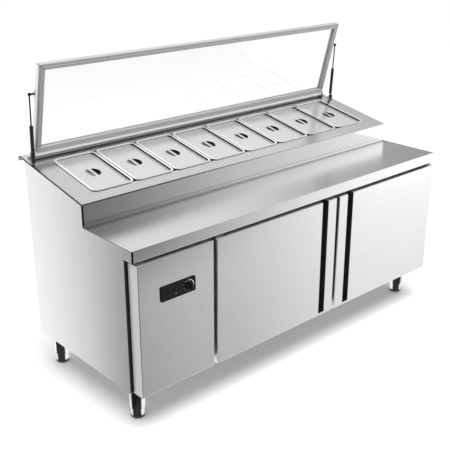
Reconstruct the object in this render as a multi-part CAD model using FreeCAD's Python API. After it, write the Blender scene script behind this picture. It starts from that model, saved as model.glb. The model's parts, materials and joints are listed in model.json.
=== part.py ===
import FreeCAD, Part
import math
import os

from FreeCAD import Placement, Rotation, Vector

# Refrigerated prep counter, in millimetres. While it is built, x runs along the counter from its
# middle, y runs back from the worktop's front edge and z runs up from the floor. The finished pieces
# then move so that the origin lies on the floor under the middle of the whole object.

# Counter body
counter_width = 1800.0
worktop_depth = 306.0
worktop_height = 756.0
worktop_edge = 48.0
riser_height = 86.0
deck_run = 454.0
deck_rise = 91.0
deck_fold = 20.0
deck_overhang = 49.0
base_height = 156.0
frame_setback = 52.0
frame_depth = 40.0
frame_wall = 1.5
sheet = 1.5
bend_radius = 3.0
cove_radius = 9.0
seat_gap = 0.2
cut_margin = 1.0
match_tolerance = 0.01

# Door line
door_proud = 10.0
door_thickness = 55.0
door_skin = 1.2
door_edge_radius = 4.0
door_inset = 14.0
door_gap = 16.0
door_top_gap = 10.0
door_bottom_gap = 2.0
cover_width = 356.0
gasket_inset = 22.0
gasket_width = 16.0
gasket_gap = 0.3
gasket_land = 6.0
grip_width = 38.0
grip_depth = 27.0
grip_wall = 2.0
grip_foot = 12.0
strip_width = 55.0

# Door hinges
pivot_edge = 20.0
pivot_depth = 22.0
pin_radius = 5.0
pin_reach = 18.0
pin_clearance = 0.05
hinge_plate = 4.0
hinge_plate_half = 16.0
hinge_plate_lip = 10.0
hinge_hold = 14.0
hinge_gap = 1.5

# Control plate, knob and thermostat
plate_width = 165.0
plate_height = 61.0
plate_thickness = 4.0
plate_corner = 7.0
plate_border = 4.0
plate_pocket = 0.8
plate_left = 96.0
plate_drop = 111.0
knob_left = 132.0
knob_radius = 20.0
knob_skirt = 3.0
knob_body_radius = 15.0
knob_height = 20.0
knob_bar = 6.0
knob_gap = 0.3
shaft_radius = 3.0
shaft_reach = 14.0
shaft_hole_clearance = 0.6
thermostat_width = 46.0
thermostat_depth = 34.0
thermostat_height = 40.0

# Pans and pan lids
pan_count = 8
pan_gap = 2.5
pan_row_left = 96.0
pan_row_right = 86.5
pan_front = 65.0
pan_length = 306.0
pan_depth = 100.0
pan_corner = 28.0
pan_flange = 8.0
pan_wall = 1.2
pan_bottom_radius = 10.0
pan_ledge = 4.0
pan_lid_margin = 1.0
pan_lid_rim = 10.0
pan_lid_recess = 9.0
pan_lid_recess_radius = 4.0
dish_radius = 32.0
dish_depth = 11.0
dish_edge_radius = 5.0
grip_bar_width = 13.0
grip_bar_thickness = 1.6

# Pan well
well_clearance = 14.0
well_floor_gap = 20.0

# Glass lid and its hinge
lid_inset = 40.0
lid_lean = 14.5
lid_depth = 26.0
lid_axis_depth = 15.0
lid_axis_run = 416.0
lid_closed_gap = 2.0
lid_height = 388.0
lid_top_rail = 22.0
lid_bottom_rail = 20.0
lid_stile = 27.0
lid_wall = 1.5
lid_corner_radius = 8.0
lid_edge_radius = 1.5
lid_step = 10.0
lid_step_depth = 5.0
glass_thickness = 4.0
glass_setback = 14.0
glass_bite = 6.0
glass_gap = 0.2
hinge_rail_radius = 14.0
hinge_rail_wall = 3.0
hinge_rail_plug = 30.0
hinge_rail_step = 2.0
lid_pin_radius = 4.0
lid_pin_reach = 25.0
lid_bracket_plate = 4.0
lid_bracket_gap = 1.0
lid_bracket_flange = 12.0

# Gas struts
strut_inset = 14.0
strut_foot_run = 368.0
strut_foot_rise = 14.0
strut_stud_height = 266.0
strut_stud_depth = 3.0
strut_tube_radius = 7.5
strut_tube_length = 134.0
strut_rod_radius = 3.0
strut_neck = 13.0
strut_eye_radius = 7.0
strut_eye_width = 6.0
strut_stud_radius = 4.0
strut_bracket = 3.0
strut_open_gap = 0.3
strut_edge_radius = 1.5
strut_side_gap = 1.0

# Legs and feet
leg_inset = 71.0
leg_front = 110.0
leg_rear = 670.0
leg_radius = 30.0
leg_bottom = 42.0
leg_plate_radius = 34.0
leg_plate = 4.0
leg_edge_radius = 1.0
foot_radius = 26.0
foot_reach = 60.0
foot_pad_radius = 28.0
foot_pad_height = 12.0
foot_pad_round = 5.0

# Cold room and insulation
liner_sheet = 1.0
partition_thickness = 48.0
wall_foam = 41.0
ceiling_foam = 48.0
shelf_height = 412.0
shelf_ledge = 20.0
shelf_margin = 6.0
shelf_frame_radius = 4.0
shelf_wire_radius = 2.0
shelf_wire_pitch = 42.0

# Refrigeration set
fan_height = 310.0
fan_radius = 100.0
fan_ring_gap = 8.0
fan_hub_radius = 24.0
fan_hub_length = 22.0
fan_shaft_radius = 4.0
fan_blade_thickness = 2.0
fan_blade_chord = 62.0
fan_pitch_angle = 28.0
fan_blades = 5
shroud_width = 280.0
shroud_height = 240.0
shroud_depth = 34.0
motor_radius = 30.0
motor_length = 46.0
motor_arm = 8.0
motor_edge_radius = 4.0
coil_depth = 44.0
coil_fin = 1.0
coil_fin_pitch = 14.0
coil_tube_radius = 5.0
coil_row_pitch = 30.0
coil_rear_gap = 14.0
compressor_radius = 75.0
compressor_height = 170.0
compressor_front = 330.0
compressor_foot = 14.0
pipe_radius = 5.0
pipe_bend = 30.0
pipe_sleeve_gap = 1.0
evaporator_left = 60.0
evaporator_width = 480.0
evaporator_height = 130.0
evaporator_depth = 46.0
evaporator_drop = 22.0
suction_row = 1
gland_radius = 9.0
gland_flange = 14.0
gland_length = 12.0
gland_height = 178.0
gland_left = 58.0
vent_slots = 9
vent_slot_height = 10.0
vent_slot_pitch = 22.0
vent_corner = 4.0

# Places worked out from the sizes above
half = counter_width / 2
inner_half = half - sheet - seat_gap
riser_y = worktop_depth
deck_rear_y = worktop_depth + deck_run
rear_y = deck_rear_y - deck_overhang
rear_inner_y = rear_y - sheet - seat_gap
edge_bottom_z = worktop_height - worktop_edge
deck_front_z = worktop_height + riser_height
slope = math.atan2(deck_rise, deck_run)
deck_drop = sheet / math.cos(slope)
worktop_under_z = worktop_height - sheet - seat_gap

front_y = -door_proud
back_y = front_y + door_thickness
door_z0 = base_height + door_bottom_gap
door_z1 = edge_bottom_z - door_top_gap
door_width = (counter_width - 2 * door_inset - cover_width - 2 * door_gap) / 2
cover_x0 = -half + door_inset
cover_x1 = cover_x0 + cover_width
left_door_x0 = cover_x1 + door_gap
left_door_x1 = left_door_x0 + door_width
right_door_x0 = left_door_x1 + door_gap
right_door_x1 = half - door_inset
pivot_y = front_y + pivot_depth
seal_reach = gasket_inset + gasket_width + gasket_land
mullion_half = door_gap / 2 + seal_reach
bay_mullion_x = cover_x1 + door_gap / 2
centre_mullion_x = left_door_x1 + door_gap / 2
header_z = door_z1 - seal_reach
sill_z = door_z0 + seal_reach
frame_back_y = frame_setback + frame_depth

plate_x0 = cover_x0 + plate_left
plate_z1 = door_z1 - plate_drop
plate_z0 = plate_z1 - plate_height
knob_x = plate_x0 + knob_left
knob_z = (plate_z0 + plate_z1) / 2
plate_y = front_y - plate_thickness
knob_front_y = plate_y - knob_gap - knob_height

strut_x = half - strut_inset
lid_half = half - lid_inset
lid_axis_rise = lid_axis_depth + lid_closed_gap
pan_row_x0 = -half + pan_row_left
pan_row_x1 = half - pan_row_right
pan_width = (pan_row_x1 - pan_row_x0 - (pan_count - 1) * pan_gap) / pan_count
pan_pitch = pan_width + pan_gap
pan_flange_top = seat_gap + sheet
pan_lid_bottom = pan_flange_top + seat_gap
pan_lid_top = pan_lid_bottom + pan_wall

pan_lowest_z = deck_front_z + (pan_front + pan_flange) * math.sin(slope) - pan_depth * math.cos(slope)
well_floor_height = pan_lowest_z - well_floor_gap
ceiling_height = well_floor_height - ceiling_foam

partition_x0 = bay_mullion_x - partition_thickness / 2
partition_x1 = bay_mullion_x + partition_thickness / 2
liner_right_x = inner_half - wall_foam
liner_rear_y = rear_inner_y - wall_foam
fan_x = (-half + partition_x0) / 2
coil_rear_y = rear_inner_y - coil_rear_gap
coil_front_y = coil_rear_y - coil_depth
shroud_front_y = coil_front_y - shroud_depth
compressor_y = compressor_front + compressor_radius
floor_z = base_height + sheet
gland_x = -half + gland_left

origin_shift = Vector(0, -(knob_front_y + deck_rear_y) / 2, 0)


# Shape helpers
def box(x0, x1, y0, y1, z0, z1):
    return Part.makeBox(x1 - x0, y1 - y0, z1 - z0, Vector(x0, y0, z0))


def bar(start, end, radius):
    axis = end - start
    return Part.makeCylinder(radius, axis.Length, start, axis)


def x_bar(x0, x1, y, z, radius):
    return bar(Vector(x0, y, z), Vector(x1, y, z), radius)


def y_bar(x, y0, y1, z, radius):
    return bar(Vector(x, y0, z), Vector(x, y1, z), radius)


def z_bar(x, y, z0, z1, radius):
    return bar(Vector(x, y, z0), Vector(x, y, z1), radius)


def prism_along_x(outline, x0, x1):
    corners = [Vector(x0, y, z) for y, z in outline]
    face = Part.Face(Part.makePolygon(corners + corners[:1]))
    return face.extrude(Vector(x1 - x0, 0, 0))


def prism_along_y(outline, y0, y1):
    corners = [Vector(x, y0, z) for x, z in outline]
    face = Part.Face(Part.makePolygon(corners + corners[:1]))
    return face.extrude(Vector(0, y1 - y0, 0))


def edges_along(shape, axis):
    found = []
    for edge in shape.Edges:
        span = edge.BoundBox
        lengths = (span.XLength, span.YLength, span.ZLength)
        others = sum(lengths) - lengths[axis]
        if lengths[axis] > match_tolerance and others < match_tolerance:
            found.append(edge)
    return found


def edges_at(shape, axis, value):
    found = []
    for edge in shape.Edges:
        span = edge.BoundBox
        low = (span.XMin, span.YMin, span.ZMin)[axis]
        high = (span.XMax, span.YMax, span.ZMax)[axis]
        if abs(low - value) < match_tolerance and abs(high - value) < match_tolerance:
            found.append(edge)
    return found


def rounded_plate(x0, x1, y0, y1, z0, z1, corner, axis=2):
    block = box(x0, x1, y0, y1, z0, z1)
    return block.makeFillet(corner, edges_along(block, axis))


def hollow_bar(x0, x1, y0, y1, z0, z1):
    wall = frame_wall
    outer = box(x0, x1, y0, y1, z0, z1)
    return outer.cut(box(x0 + wall, x1 - wall, y0 + wall, y1 - wall, z0 + wall, z1 - wall))


def path_edges(points, radii):
    edges = []
    start = points[0]
    for before, corner, after, radius in zip(points, points[1:], points[2:], radii):
        into = (corner - before).normalize()
        out = (after - corner).normalize()
        turn = into.getAngle(out)
        setback = radius * math.tan(turn / 2)
        first = corner - into * setback
        last = corner + out * setback
        inward = (out - into).normalize()
        middle = corner + inward * (radius / math.cos(turn / 2) - radius)
        edges.append(Part.LineSegment(start, first).toShape())
        edges.append(Part.Arc(first, middle, last).toShape())
        start = last
    edges.append(Part.LineSegment(start, points[-1]).toShape())
    return edges


def bent_sheet(outline, radii, x0, x1):
    """A sheet that follows an outline of (y, z) points on its visible side; the metal lies on the right."""
    visible = [Vector(x0, y, z) for y, z in outline]
    steps = [(b - a).normalize() for a, b in zip(visible, visible[1:])]
    rights = [Vector(0, step.z, -step.y) for step in steps]
    hidden = [visible[0] + rights[0] * sheet]
    hidden_radii = []
    for point, first, second, step, radius in zip(visible[1:], rights, rights[1:], steps, radii):
        hidden.append(point + (first + second) * (sheet / (1 + first.dot(second))))
        hidden_radii.append(radius - sheet if step.dot(second) < 0 else radius + sheet)
    hidden.append(visible[-1] + rights[-1] * sheet)
    edges = path_edges(visible, radii) + path_edges(hidden, hidden_radii)
    edges.append(Part.LineSegment(visible[0], hidden[0]).toShape())
    edges.append(Part.LineSegment(visible[-1], hidden[-1]).toShape())
    face = Part.Face(Part.Wire(Part.__sortEdges__(edges)))
    return face.extrude(Vector(x1 - x0, 0, 0))


def tube_path(points, radius):
    route = Part.Wire(path_edges(points, [pipe_bend] * (len(points) - 2)))
    along = points[1] - points[0]
    ring = Part.Wire(Part.makeCircle(radius, points[0], along))
    return route.makePipeShell([ring], True, False)


def placed(shape, placement):
    moved = shape.copy()
    moved.Placement = placement.multiply(moved.Placement)
    return moved


def mirrored(shape):
    return shape.mirror(Vector(0, 0, 0), Vector(1, 0, 0))


def turned(shape, angle_deg, point):
    """Turns a shape built round the x axis and carries it to a point."""
    return placed(shape, Placement(point, Rotation(Vector(1, 0, 0), angle_deg)))


def on_deck(shape):
    """Carries a shape from a flat frame (along, up the slope, off the deck) to the sloping deck."""
    return turned(shape, math.degrees(slope), Vector(0, riser_y, deck_front_z))


def deck_point(x, run, rise):
    y = riser_y + run * math.cos(slope) - rise * math.sin(slope)
    z = deck_front_z + run * math.sin(slope) + rise * math.cos(slope)
    return Vector(x, y, z)


def deck_z(y):
    return deck_front_z + (y - riser_y) * deck_rise / deck_run


def under_deck_z(y):
    return deck_z(y) - deck_drop - seat_gap


def save(name, *solids):
    shape = solids[0] if len(solids) == 1 else Part.makeCompound(list(solids))
    moved = placed(shape, Placement(origin_shift, Rotation()))
    moved.exportStep(os.path.join("parts", name + ".step"))


# Counter shell
def worktop():
    outline = [
        (frame_setback, edge_bottom_z),
        (0, edge_bottom_z),
        (0, worktop_height),
        (riser_y, worktop_height),
        (riser_y, under_deck_z(riser_y)),
    ]
    return bent_sheet(outline, [bend_radius, bend_radius, cove_radius], -half, half)


def pan_opening():
    """The cut-out in the deck, in the deck's own flat frame."""
    return rounded_plate(
        pan_row_x0 + pan_ledge,
        pan_row_x1 - pan_ledge,
        pan_front + pan_ledge,
        pan_front + pan_length - pan_ledge,
        -pan_depth,
        pan_depth,
        pan_corner - pan_ledge,
    )


def pan_deck():
    outline = [
        (riser_y, deck_front_z),
        (deck_rear_y, deck_front_z + deck_rise),
        (deck_rear_y, deck_front_z + deck_rise - deck_fold),
    ]
    return bent_sheet(outline, [bend_radius], -half, half).cut(on_deck(pan_opening()))


def side_panel():
    behind_riser_y = riser_y + sheet + seat_gap
    behind_edge_y = sheet + seat_gap
    above_return_z = edge_bottom_z + sheet + seat_gap
    outline = [
        (frame_setback, base_height),
        (rear_y, base_height),
        (rear_y, under_deck_z(rear_y)),
        (behind_riser_y, under_deck_z(behind_riser_y)),
        (behind_riser_y, worktop_under_z),
        (behind_edge_y + bend_radius, worktop_under_z),
        (behind_edge_y, worktop_under_z - bend_radius),
        (behind_edge_y, above_return_z + bend_radius),
        (behind_edge_y + bend_radius, above_return_z),
        (frame_setback, above_return_z),
    ]
    return prism_along_x(outline, -half, -half + sheet)


def rear_panel():
    top_z = under_deck_z(rear_y - sheet)
    panel = box(-inner_half, inner_half, rear_y - sheet, rear_y, base_height, top_z)
    half_row = (vent_slots - 1) * vent_slot_pitch / 2
    for index in range(vent_slots):
        z = fan_height - half_row + index * vent_slot_pitch
        slot = rounded_plate(
            fan_x - fan_radius,
            fan_x + fan_radius,
            rear_y - 2 * sheet,
            rear_y + sheet,
            z - vent_slot_height / 2,
            z + vent_slot_height / 2,
            vent_corner,
            axis=1,
        )
        panel = panel.cut(slot)
    hole = y_bar(gland_x, rear_y - 2 * sheet, rear_y + sheet, gland_height, gland_radius + seat_gap)
    return panel.cut(hole)


def base_panel():
    return box(-inner_half, inner_half, frame_setback, rear_inner_y, base_height, base_height + sheet)


def front_frame():
    y0 = frame_setback
    y1 = frame_back_y
    low_z = sill_z + seat_gap
    high_z = header_z - seat_gap
    post_x = half - door_inset - seal_reach
    members = [
        hollow_bar(-inner_half, inner_half, y0, y1, floor_z + seat_gap, sill_z),
        hollow_bar(-inner_half, inner_half, y0, y1, header_z, worktop_under_z),
        hollow_bar(-inner_half, -post_x, y0, y1, low_z, high_z),
        hollow_bar(post_x, inner_half, y0, y1, low_z, high_z),
    ]
    for middle in (bay_mullion_x, centre_mullion_x):
        members.append(hollow_bar(middle - mullion_half, middle + mullion_half, y0, y1, low_z, high_z))
    return members


# Insulated walls and the cold room
def suction_hole(x0, x1):
    return x_bar(x0, x1, suction_y(), suction_z(), pipe_radius + pipe_sleeve_gap)


def suction_y():
    return liner_rear_y - seat_gap - evaporator_depth / 2


def suction_z():
    top_z = ceiling_height - evaporator_drop
    return coil_row_heights(top_z - evaporator_height, top_z)[suction_row]


def insulation():
    y0 = frame_back_y + seat_gap
    room_x0 = partition_x1 + liner_sheet + seat_gap
    low_z = floor_z + seat_gap
    liner_z = sill_z - liner_sheet - seat_gap
    high_z = ceiling_height - seat_gap
    above_ceiling_z = ceiling_height + liner_sheet + seat_gap
    below_well_z = well_floor_height - seat_gap
    partition_foam_x0 = partition_x0 + liner_sheet + seat_gap
    partition = box(partition_foam_x0, partition_x1 - seat_gap, y0, rear_inner_y, low_z, high_z)
    rear_y0 = liner_rear_y + liner_sheet + seat_gap
    right_x0 = liner_right_x + liner_sheet + seat_gap
    well_y = well_front_y()
    return [
        box(room_x0, inner_half, y0, rear_inner_y, low_z, liner_z),
        box(room_x0, inner_half, rear_y0, rear_inner_y, sill_z, high_z),
        box(right_x0, inner_half, y0, liner_rear_y, sill_z, high_z),
        partition.cut(suction_hole(partition_x0, partition_x1)),
        box(-inner_half, inner_half, well_y, rear_inner_y, above_ceiling_z, below_well_z),
        box(-inner_half, inner_half, y0, well_y - seat_gap, above_ceiling_z, worktop_under_z),
    ]


def cold_room_liner():
    y0 = frame_back_y + seat_gap
    room_x0 = partition_x1 + liner_sheet + seat_gap
    right_x = liner_right_x - seat_gap
    rear = liner_rear_y - seat_gap
    top_z = ceiling_height - seat_gap
    sleeve = suction_hole(partition_x0 - liner_sheet, partition_x1 + 2 * liner_sheet)
    bay_side = box(partition_x0, partition_x0 + liner_sheet, y0, rear_inner_y, floor_z + seat_gap, top_z)
    room_side = box(partition_x1, partition_x1 + liner_sheet, y0, rear, sill_z + seat_gap, top_z)
    ledge_z = shelf_height - liner_sheet
    rail_z = shelf_height - shelf_ledge
    middle_x0 = centre_mullion_x - shelf_ledge
    middle_x1 = centre_mullion_x + shelf_ledge
    return [
        box(room_x0, right_x, y0, rear, sill_z - liner_sheet, sill_z),
        box(room_x0, right_x, liner_rear_y, liner_rear_y + liner_sheet, sill_z + seat_gap, top_z),
        box(liner_right_x, liner_right_x + liner_sheet, y0, rear, sill_z + seat_gap, top_z),
        box(partition_x0, inner_half, y0, rear_inner_y, ceiling_height, ceiling_height + liner_sheet),
        bay_side.cut(sleeve),
        room_side.cut(sleeve),
        box(room_x0, room_x0 + shelf_ledge, y0, rear, ledge_z, shelf_height),
        box(right_x - shelf_ledge, right_x, y0, rear, ledge_z, shelf_height),
        hollow_bar(middle_x0, middle_x1, y0, rear, rail_z, shelf_height),
    ]


def wire_shelf(x0, x1):
    y0 = frame_back_y + shelf_margin
    y1 = liner_rear_y - evaporator_depth - 2 * shelf_margin
    z = shelf_height + seat_gap + shelf_frame_radius
    wire_z = z + shelf_frame_radius
    r = shelf_frame_radius
    rods = [
        x_bar(x0, x1, y0 + r, z, r),
        x_bar(x0, x1, y1 - r, z, r),
        y_bar(x0 + r, y0, y1, z, r),
        y_bar(x1 - r, y0, y1, z, r),
        x_bar(x0, x1, (y0 + y1) / 2, z, r),
    ]
    count = int((x1 - x0 - 2 * r) // shelf_wire_pitch)
    step = (x1 - x0 - 2 * r) / (count + 1)
    for index in range(1, count + 1):
        rods.append(y_bar(x0 + r + index * step, y0, y1, wire_z, shelf_wire_radius))
    return rods[0].multiFuse(rods[1:])


def wire_shelves():
    left = wire_shelf(partition_x1 + liner_sheet + shelf_margin, centre_mullion_x - shelf_margin)
    right = wire_shelf(centre_mullion_x + shelf_margin, liner_right_x - shelf_margin)
    return [left, right]


# Pan well
def well_front_y():
    return riser_y + (pan_front + pan_flange) * math.cos(slope) - well_clearance


def well_rear_y():
    return deck_point(0, pan_front + pan_length - pan_flange, -pan_depth).y + well_clearance


def pan_well():
    x0 = pan_row_x0 + pan_flange - well_clearance
    x1 = pan_row_x1 - pan_flange + well_clearance
    y0 = well_front_y()
    y1 = well_rear_y()
    z0 = well_floor_height + liner_sheet
    end_outline = [
        (y0 + liner_sheet, z0),
        (y1, z0),
        (y1, under_deck_z(y1)),
        (y0 + liner_sheet, under_deck_z(y0 + liner_sheet)),
    ]
    return [
        box(x0, x1, y0, y1 + liner_sheet, z0 - liner_sheet, z0),
        box(x0, x1, y0, y0 + liner_sheet, z0, under_deck_z(y0)),
        box(x0, x1, y1, y1 + liner_sheet, z0, under_deck_z(y1)),
        prism_along_x(end_outline, x0, x0 + liner_sheet),
        prism_along_x(end_outline, x1 - liner_sheet, x1),
    ]


# Pans and pan lids, built flat over the pan's middle and then set on the slope
def tray(width, length, corner, top, depth, bottom_radius):
    block = rounded_plate(-width / 2, width / 2, -length / 2, length / 2, top - depth, top, corner)
    return block.makeFillet(bottom_radius, edges_at(block, 2, top - depth))


def flat_rim(width, length, corner, z0, z1):
    return rounded_plate(-width / 2, width / 2, -length / 2, length / 2, z0, z1, corner)


def pan():
    inset = 2 * pan_flange
    wall = 2 * pan_wall
    top = pan_flange_top
    corner = pan_corner - pan_flange
    outer = tray(pan_width - inset, pan_length - inset, corner, top, pan_depth + top, pan_bottom_radius)
    inner = tray(
        pan_width - inset - wall,
        pan_length - inset - wall,
        corner - pan_wall,
        top,
        pan_depth + top - pan_wall,
        pan_bottom_radius - pan_wall,
    )
    rim = flat_rim(pan_width, pan_length, pan_corner, seat_gap, top)
    rim = rim.makeFillet(sheet / 3, edges_at(rim, 2, top))
    return rim.fuse(outer).cut(inner).removeSplitter()


def pan_lid():
    width = pan_width - 2 * pan_lid_margin
    length = pan_length - 2 * pan_lid_margin
    corner = pan_corner - pan_lid_margin
    wall = pan_wall
    top = pan_lid_top
    inner_w = width - 2 * pan_lid_rim
    inner_l = length - 2 * pan_lid_rim
    inner_corner = corner - pan_lid_rim
    radius = pan_lid_recess_radius
    floor = top - pan_lid_recess
    dish_floor = floor - dish_depth
    rim = flat_rim(width, length, corner, pan_lid_bottom, top)
    recess = tray(
        inner_w + 2 * wall,
        inner_l + 2 * wall,
        inner_corner + wall,
        top,
        pan_lid_recess + wall,
        radius + wall,
    )
    hollow = tray(inner_w, inner_l, inner_corner, top, pan_lid_recess, radius)
    dish = z_bar(0, 0, dish_floor - wall, floor, dish_radius + wall)
    dish = dish.makeFillet(dish_edge_radius + wall, edges_at(dish, 2, dish_floor - wall))
    bowl = z_bar(0, 0, dish_floor, floor, dish_radius)
    bowl = bowl.makeFillet(dish_edge_radius, edges_at(bowl, 2, dish_floor))
    grip = box(
        -grip_bar_width / 2,
        grip_bar_width / 2,
        -dish_radius - wall,
        dish_radius + wall,
        floor - grip_bar_thickness,
        floor,
    )
    shell = rim.fuse(recess).fuse(dish).cut(hollow).cut(bowl)
    return shell.fuse(grip).removeSplitter()


def pan_place(index):
    x = pan_row_x0 + pan_width / 2 + index * pan_pitch
    return Placement(Vector(x, pan_front + pan_length / 2, 0), Rotation())


# Doors and the machine compartment cover
def front_box(x0, x1):
    block = box(x0, x1, front_y, back_y - door_skin, door_z0, door_z1)
    return block.makeFillet(door_edge_radius, edges_at(block, 1, front_y))


def grip_groove(x0, x1, margin):
    """The vertical groove for the grip, grown by a margin, open at the front and at the top."""
    return box(
        x0 - margin,
        x1 + margin,
        front_y - margin,
        front_y + grip_depth + margin,
        door_z0 + grip_foot - margin,
        door_z1 + margin,
    )


def door_cavity(x0, x1, groove_x, margin):
    y0 = front_y + margin
    inside = box(x0 + margin, x1 - margin, y0, back_y, door_z0 + margin, door_z1 - margin)
    inside = inside.makeFillet(door_edge_radius - margin, edges_at(inside, 1, y0))
    return inside.cut(grip_groove(groove_x, groove_x + grip_width, margin))


def pivot_holes(pivot_x):
    radius = pin_radius + pin_clearance
    depth = pin_reach + hinge_gap
    low = z_bar(pivot_x, pivot_y, door_z0 - hinge_gap, door_z0 + depth, radius)
    high = z_bar(pivot_x, pivot_y, door_z1 - depth, door_z1 + hinge_gap, radius)
    return low.fuse(high)


def door_skin_shell(x0, x1, groove_x, pivot_x):
    body = front_box(x0, x1).cut(grip_groove(groove_x, groove_x + grip_width, 0))
    shell = body.cut(door_cavity(x0, x1, groove_x, door_skin))
    return shell.cut(pivot_holes(pivot_x))


def door_foam(x0, x1, groove_x, pivot_x):
    core = door_cavity(x0, x1, groove_x, door_skin + seat_gap)
    front = box(x0, x1, front_y, back_y - door_skin - seat_gap, door_z0, door_z1)
    return core.common(front).cut(pivot_holes(pivot_x))


def door_liner(x0, x1):
    return box(x0, x1, back_y - door_skin + seat_gap, back_y, door_z0, door_z1)


def door_grip(groove_x):
    gap = seat_gap
    x0 = groove_x + gap
    x1 = groove_x + grip_width - gap
    y0 = front_y + gap
    y1 = front_y + grip_depth - gap
    z0 = door_z0 + grip_foot + gap
    z1 = door_z1 - gap
    wall = grip_wall
    outer = box(x0, x1, y0, y1, z0, z1)
    return outer.cut(box(x0 + wall, x1 - wall, y0 - gap, y1 - wall, z0 + wall, z1 + gap))


def gasket(x0, x1):
    y0 = back_y + seat_gap
    y1 = frame_setback - gasket_gap
    left = x0 + gasket_inset
    right = x1 - gasket_inset
    low = door_z0 + gasket_inset
    high = door_z1 - gasket_inset
    w = gasket_width
    return [
        box(left, right, y0, y1, low, low + w),
        box(left, right, y0, y1, high - w, high),
        box(left, left + w, y0, y1, low + w, high - w),
        box(right - w, right, y0, y1, low + w, high - w),
    ]


def machine_cover():
    x0 = cover_x0
    x1 = cover_x1
    t = door_skin
    lip = seal_reach
    block = box(x0, x1, front_y, back_y, door_z0, door_z1)
    block = block.makeFillet(door_edge_radius, edges_at(block, 1, front_y))
    cavity = box(x0 + t, x1 - t, front_y + t, back_y - t, door_z0 + t, door_z1 - t)
    cavity = cavity.makeFillet(door_edge_radius - t, edges_at(cavity, 1, front_y + t))
    rear = box(x0 + lip, x1 - lip, back_y - 2 * t, back_y + t, door_z0 + lip, door_z1 - lip)
    pivot_x = x0 + pivot_edge
    shell = block.cut(cavity).cut(rear)
    sleeve = pin_radius + pin_clearance + 2 * t
    tall = pin_reach + hinge_gap
    low = z_bar(pivot_x, pivot_y, door_z0 + t / 2, door_z0 + tall, sleeve)
    high = z_bar(pivot_x, pivot_y, door_z1 - tall, door_z1 - t / 2, sleeve)
    shaft = y_bar(knob_x, front_y - t, front_y + 2 * t, knob_z, shaft_radius + shaft_hole_clearance)
    return shell.fuse(low).fuse(high).cut(pivot_holes(pivot_x)).cut(shaft)


def control_plate():
    y1 = front_y - seat_gap
    x1 = plate_x0 + plate_width
    plate = rounded_plate(plate_x0, x1, plate_y, y1, plate_z0, plate_z1, plate_corner, axis=1)
    plate = plate.makeFillet(plate_pocket, edges_at(plate, 1, plate_y))
    b = plate_border
    pocket = rounded_plate(
        plate_x0 + b,
        x1 - b,
        plate_y - plate_pocket,
        plate_y + plate_pocket,
        plate_z0 + b,
        plate_z1 - b,
        plate_corner - b,
        axis=1,
    )
    hole = y_bar(knob_x, plate_y - plate_thickness, front_y, knob_z, shaft_radius + shaft_hole_clearance)
    return plate.cut(pocket).cut(hole)


def thermostat_body():
    y0 = front_y + door_skin + seat_gap
    y1 = y0 + thermostat_depth
    x0 = knob_x - thermostat_width / 2
    z0 = knob_z - thermostat_height / 2
    x1 = x0 + thermostat_width
    z1 = z0 + thermostat_height
    body = rounded_plate(x0, x1, y0, y1, z0, z1, bend_radius, axis=1)
    bore = y_bar(knob_x, y0 - seat_gap, y0 + shaft_reach + seat_gap, knob_z, shaft_radius + pin_clearance)
    return body.cut(bore)


def control_knob():
    back = plate_y - knob_gap
    front = knob_front_y
    skirt = y_bar(knob_x, back - knob_skirt, back, knob_z, knob_radius)
    skirt = skirt.makeFillet(knob_skirt / 3, edges_at(skirt, 1, back - knob_skirt))
    body_front = (front + back - knob_skirt) / 2
    body = y_bar(knob_x, body_front, back, knob_z, knob_body_radius)
    body = body.makeFillet(knob_skirt / 2, edges_at(body, 1, body_front))
    reach = knob_body_radius - knob_skirt / 2
    rib = box(knob_x - knob_bar / 2, knob_x + knob_bar / 2, front, back, knob_z - reach, knob_z + reach)
    rib = rib.makeFillet(knob_bar / 4, edges_at(rib, 1, front))
    shaft_end = front_y + door_skin + seat_gap + shaft_reach
    shaft = y_bar(knob_x, back - knob_skirt, shaft_end, knob_z, shaft_radius)
    return skirt.fuse(body).fuse(rib).fuse(shaft).removeSplitter()


def hinge_pair(pivot_x):
    x0 = pivot_x - hinge_plate_half
    x1 = pivot_x + hinge_plate_half
    y0 = pivot_y - hinge_plate_lip
    top_z = door_z1 + hinge_gap
    leg_y = frame_setback - hinge_plate
    top_plate = box(x0, x1, y0, frame_setback - seat_gap, top_z, top_z + hinge_plate)
    top_leg = box(x0, x1, leg_y, frame_setback - seat_gap, top_z, edge_bottom_z - seat_gap)
    top_pin = z_bar(pivot_x, pivot_y, door_z1 - pin_reach, top_z + hinge_plate, pin_radius)
    low_z = base_height - seat_gap
    low_plate = box(x0, x1, y0, frame_setback + hinge_hold, low_z - hinge_plate, low_z)
    low_pin = z_bar(pivot_x, pivot_y, low_z - hinge_plate, door_z0 + pin_reach, pin_radius)
    top = top_plate.fuse(top_leg).fuse(top_pin).removeSplitter()
    low = low_plate.fuse(low_pin).removeSplitter()
    return [top, low]


# Glass lid, built upright round its hinge axis and then leaned forward
def lid_axis():
    return deck_point(0, lid_axis_run, lid_axis_rise)


def lid_placed(shape):
    return turned(shape, lid_lean, lid_axis())


def rail_bottom():
    return hinge_rail_radius + 2 * seat_gap


def lid_glass_box(margin):
    y0 = glass_setback - lid_axis_depth
    inner = lid_half - lid_stile + glass_bite
    return box(
        -inner - margin,
        inner + margin,
        y0 - margin,
        y0 + glass_thickness + margin,
        rail_bottom() + lid_bottom_rail - glass_bite - margin,
        lid_height - lid_top_rail + glass_bite + margin,
    )


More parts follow.
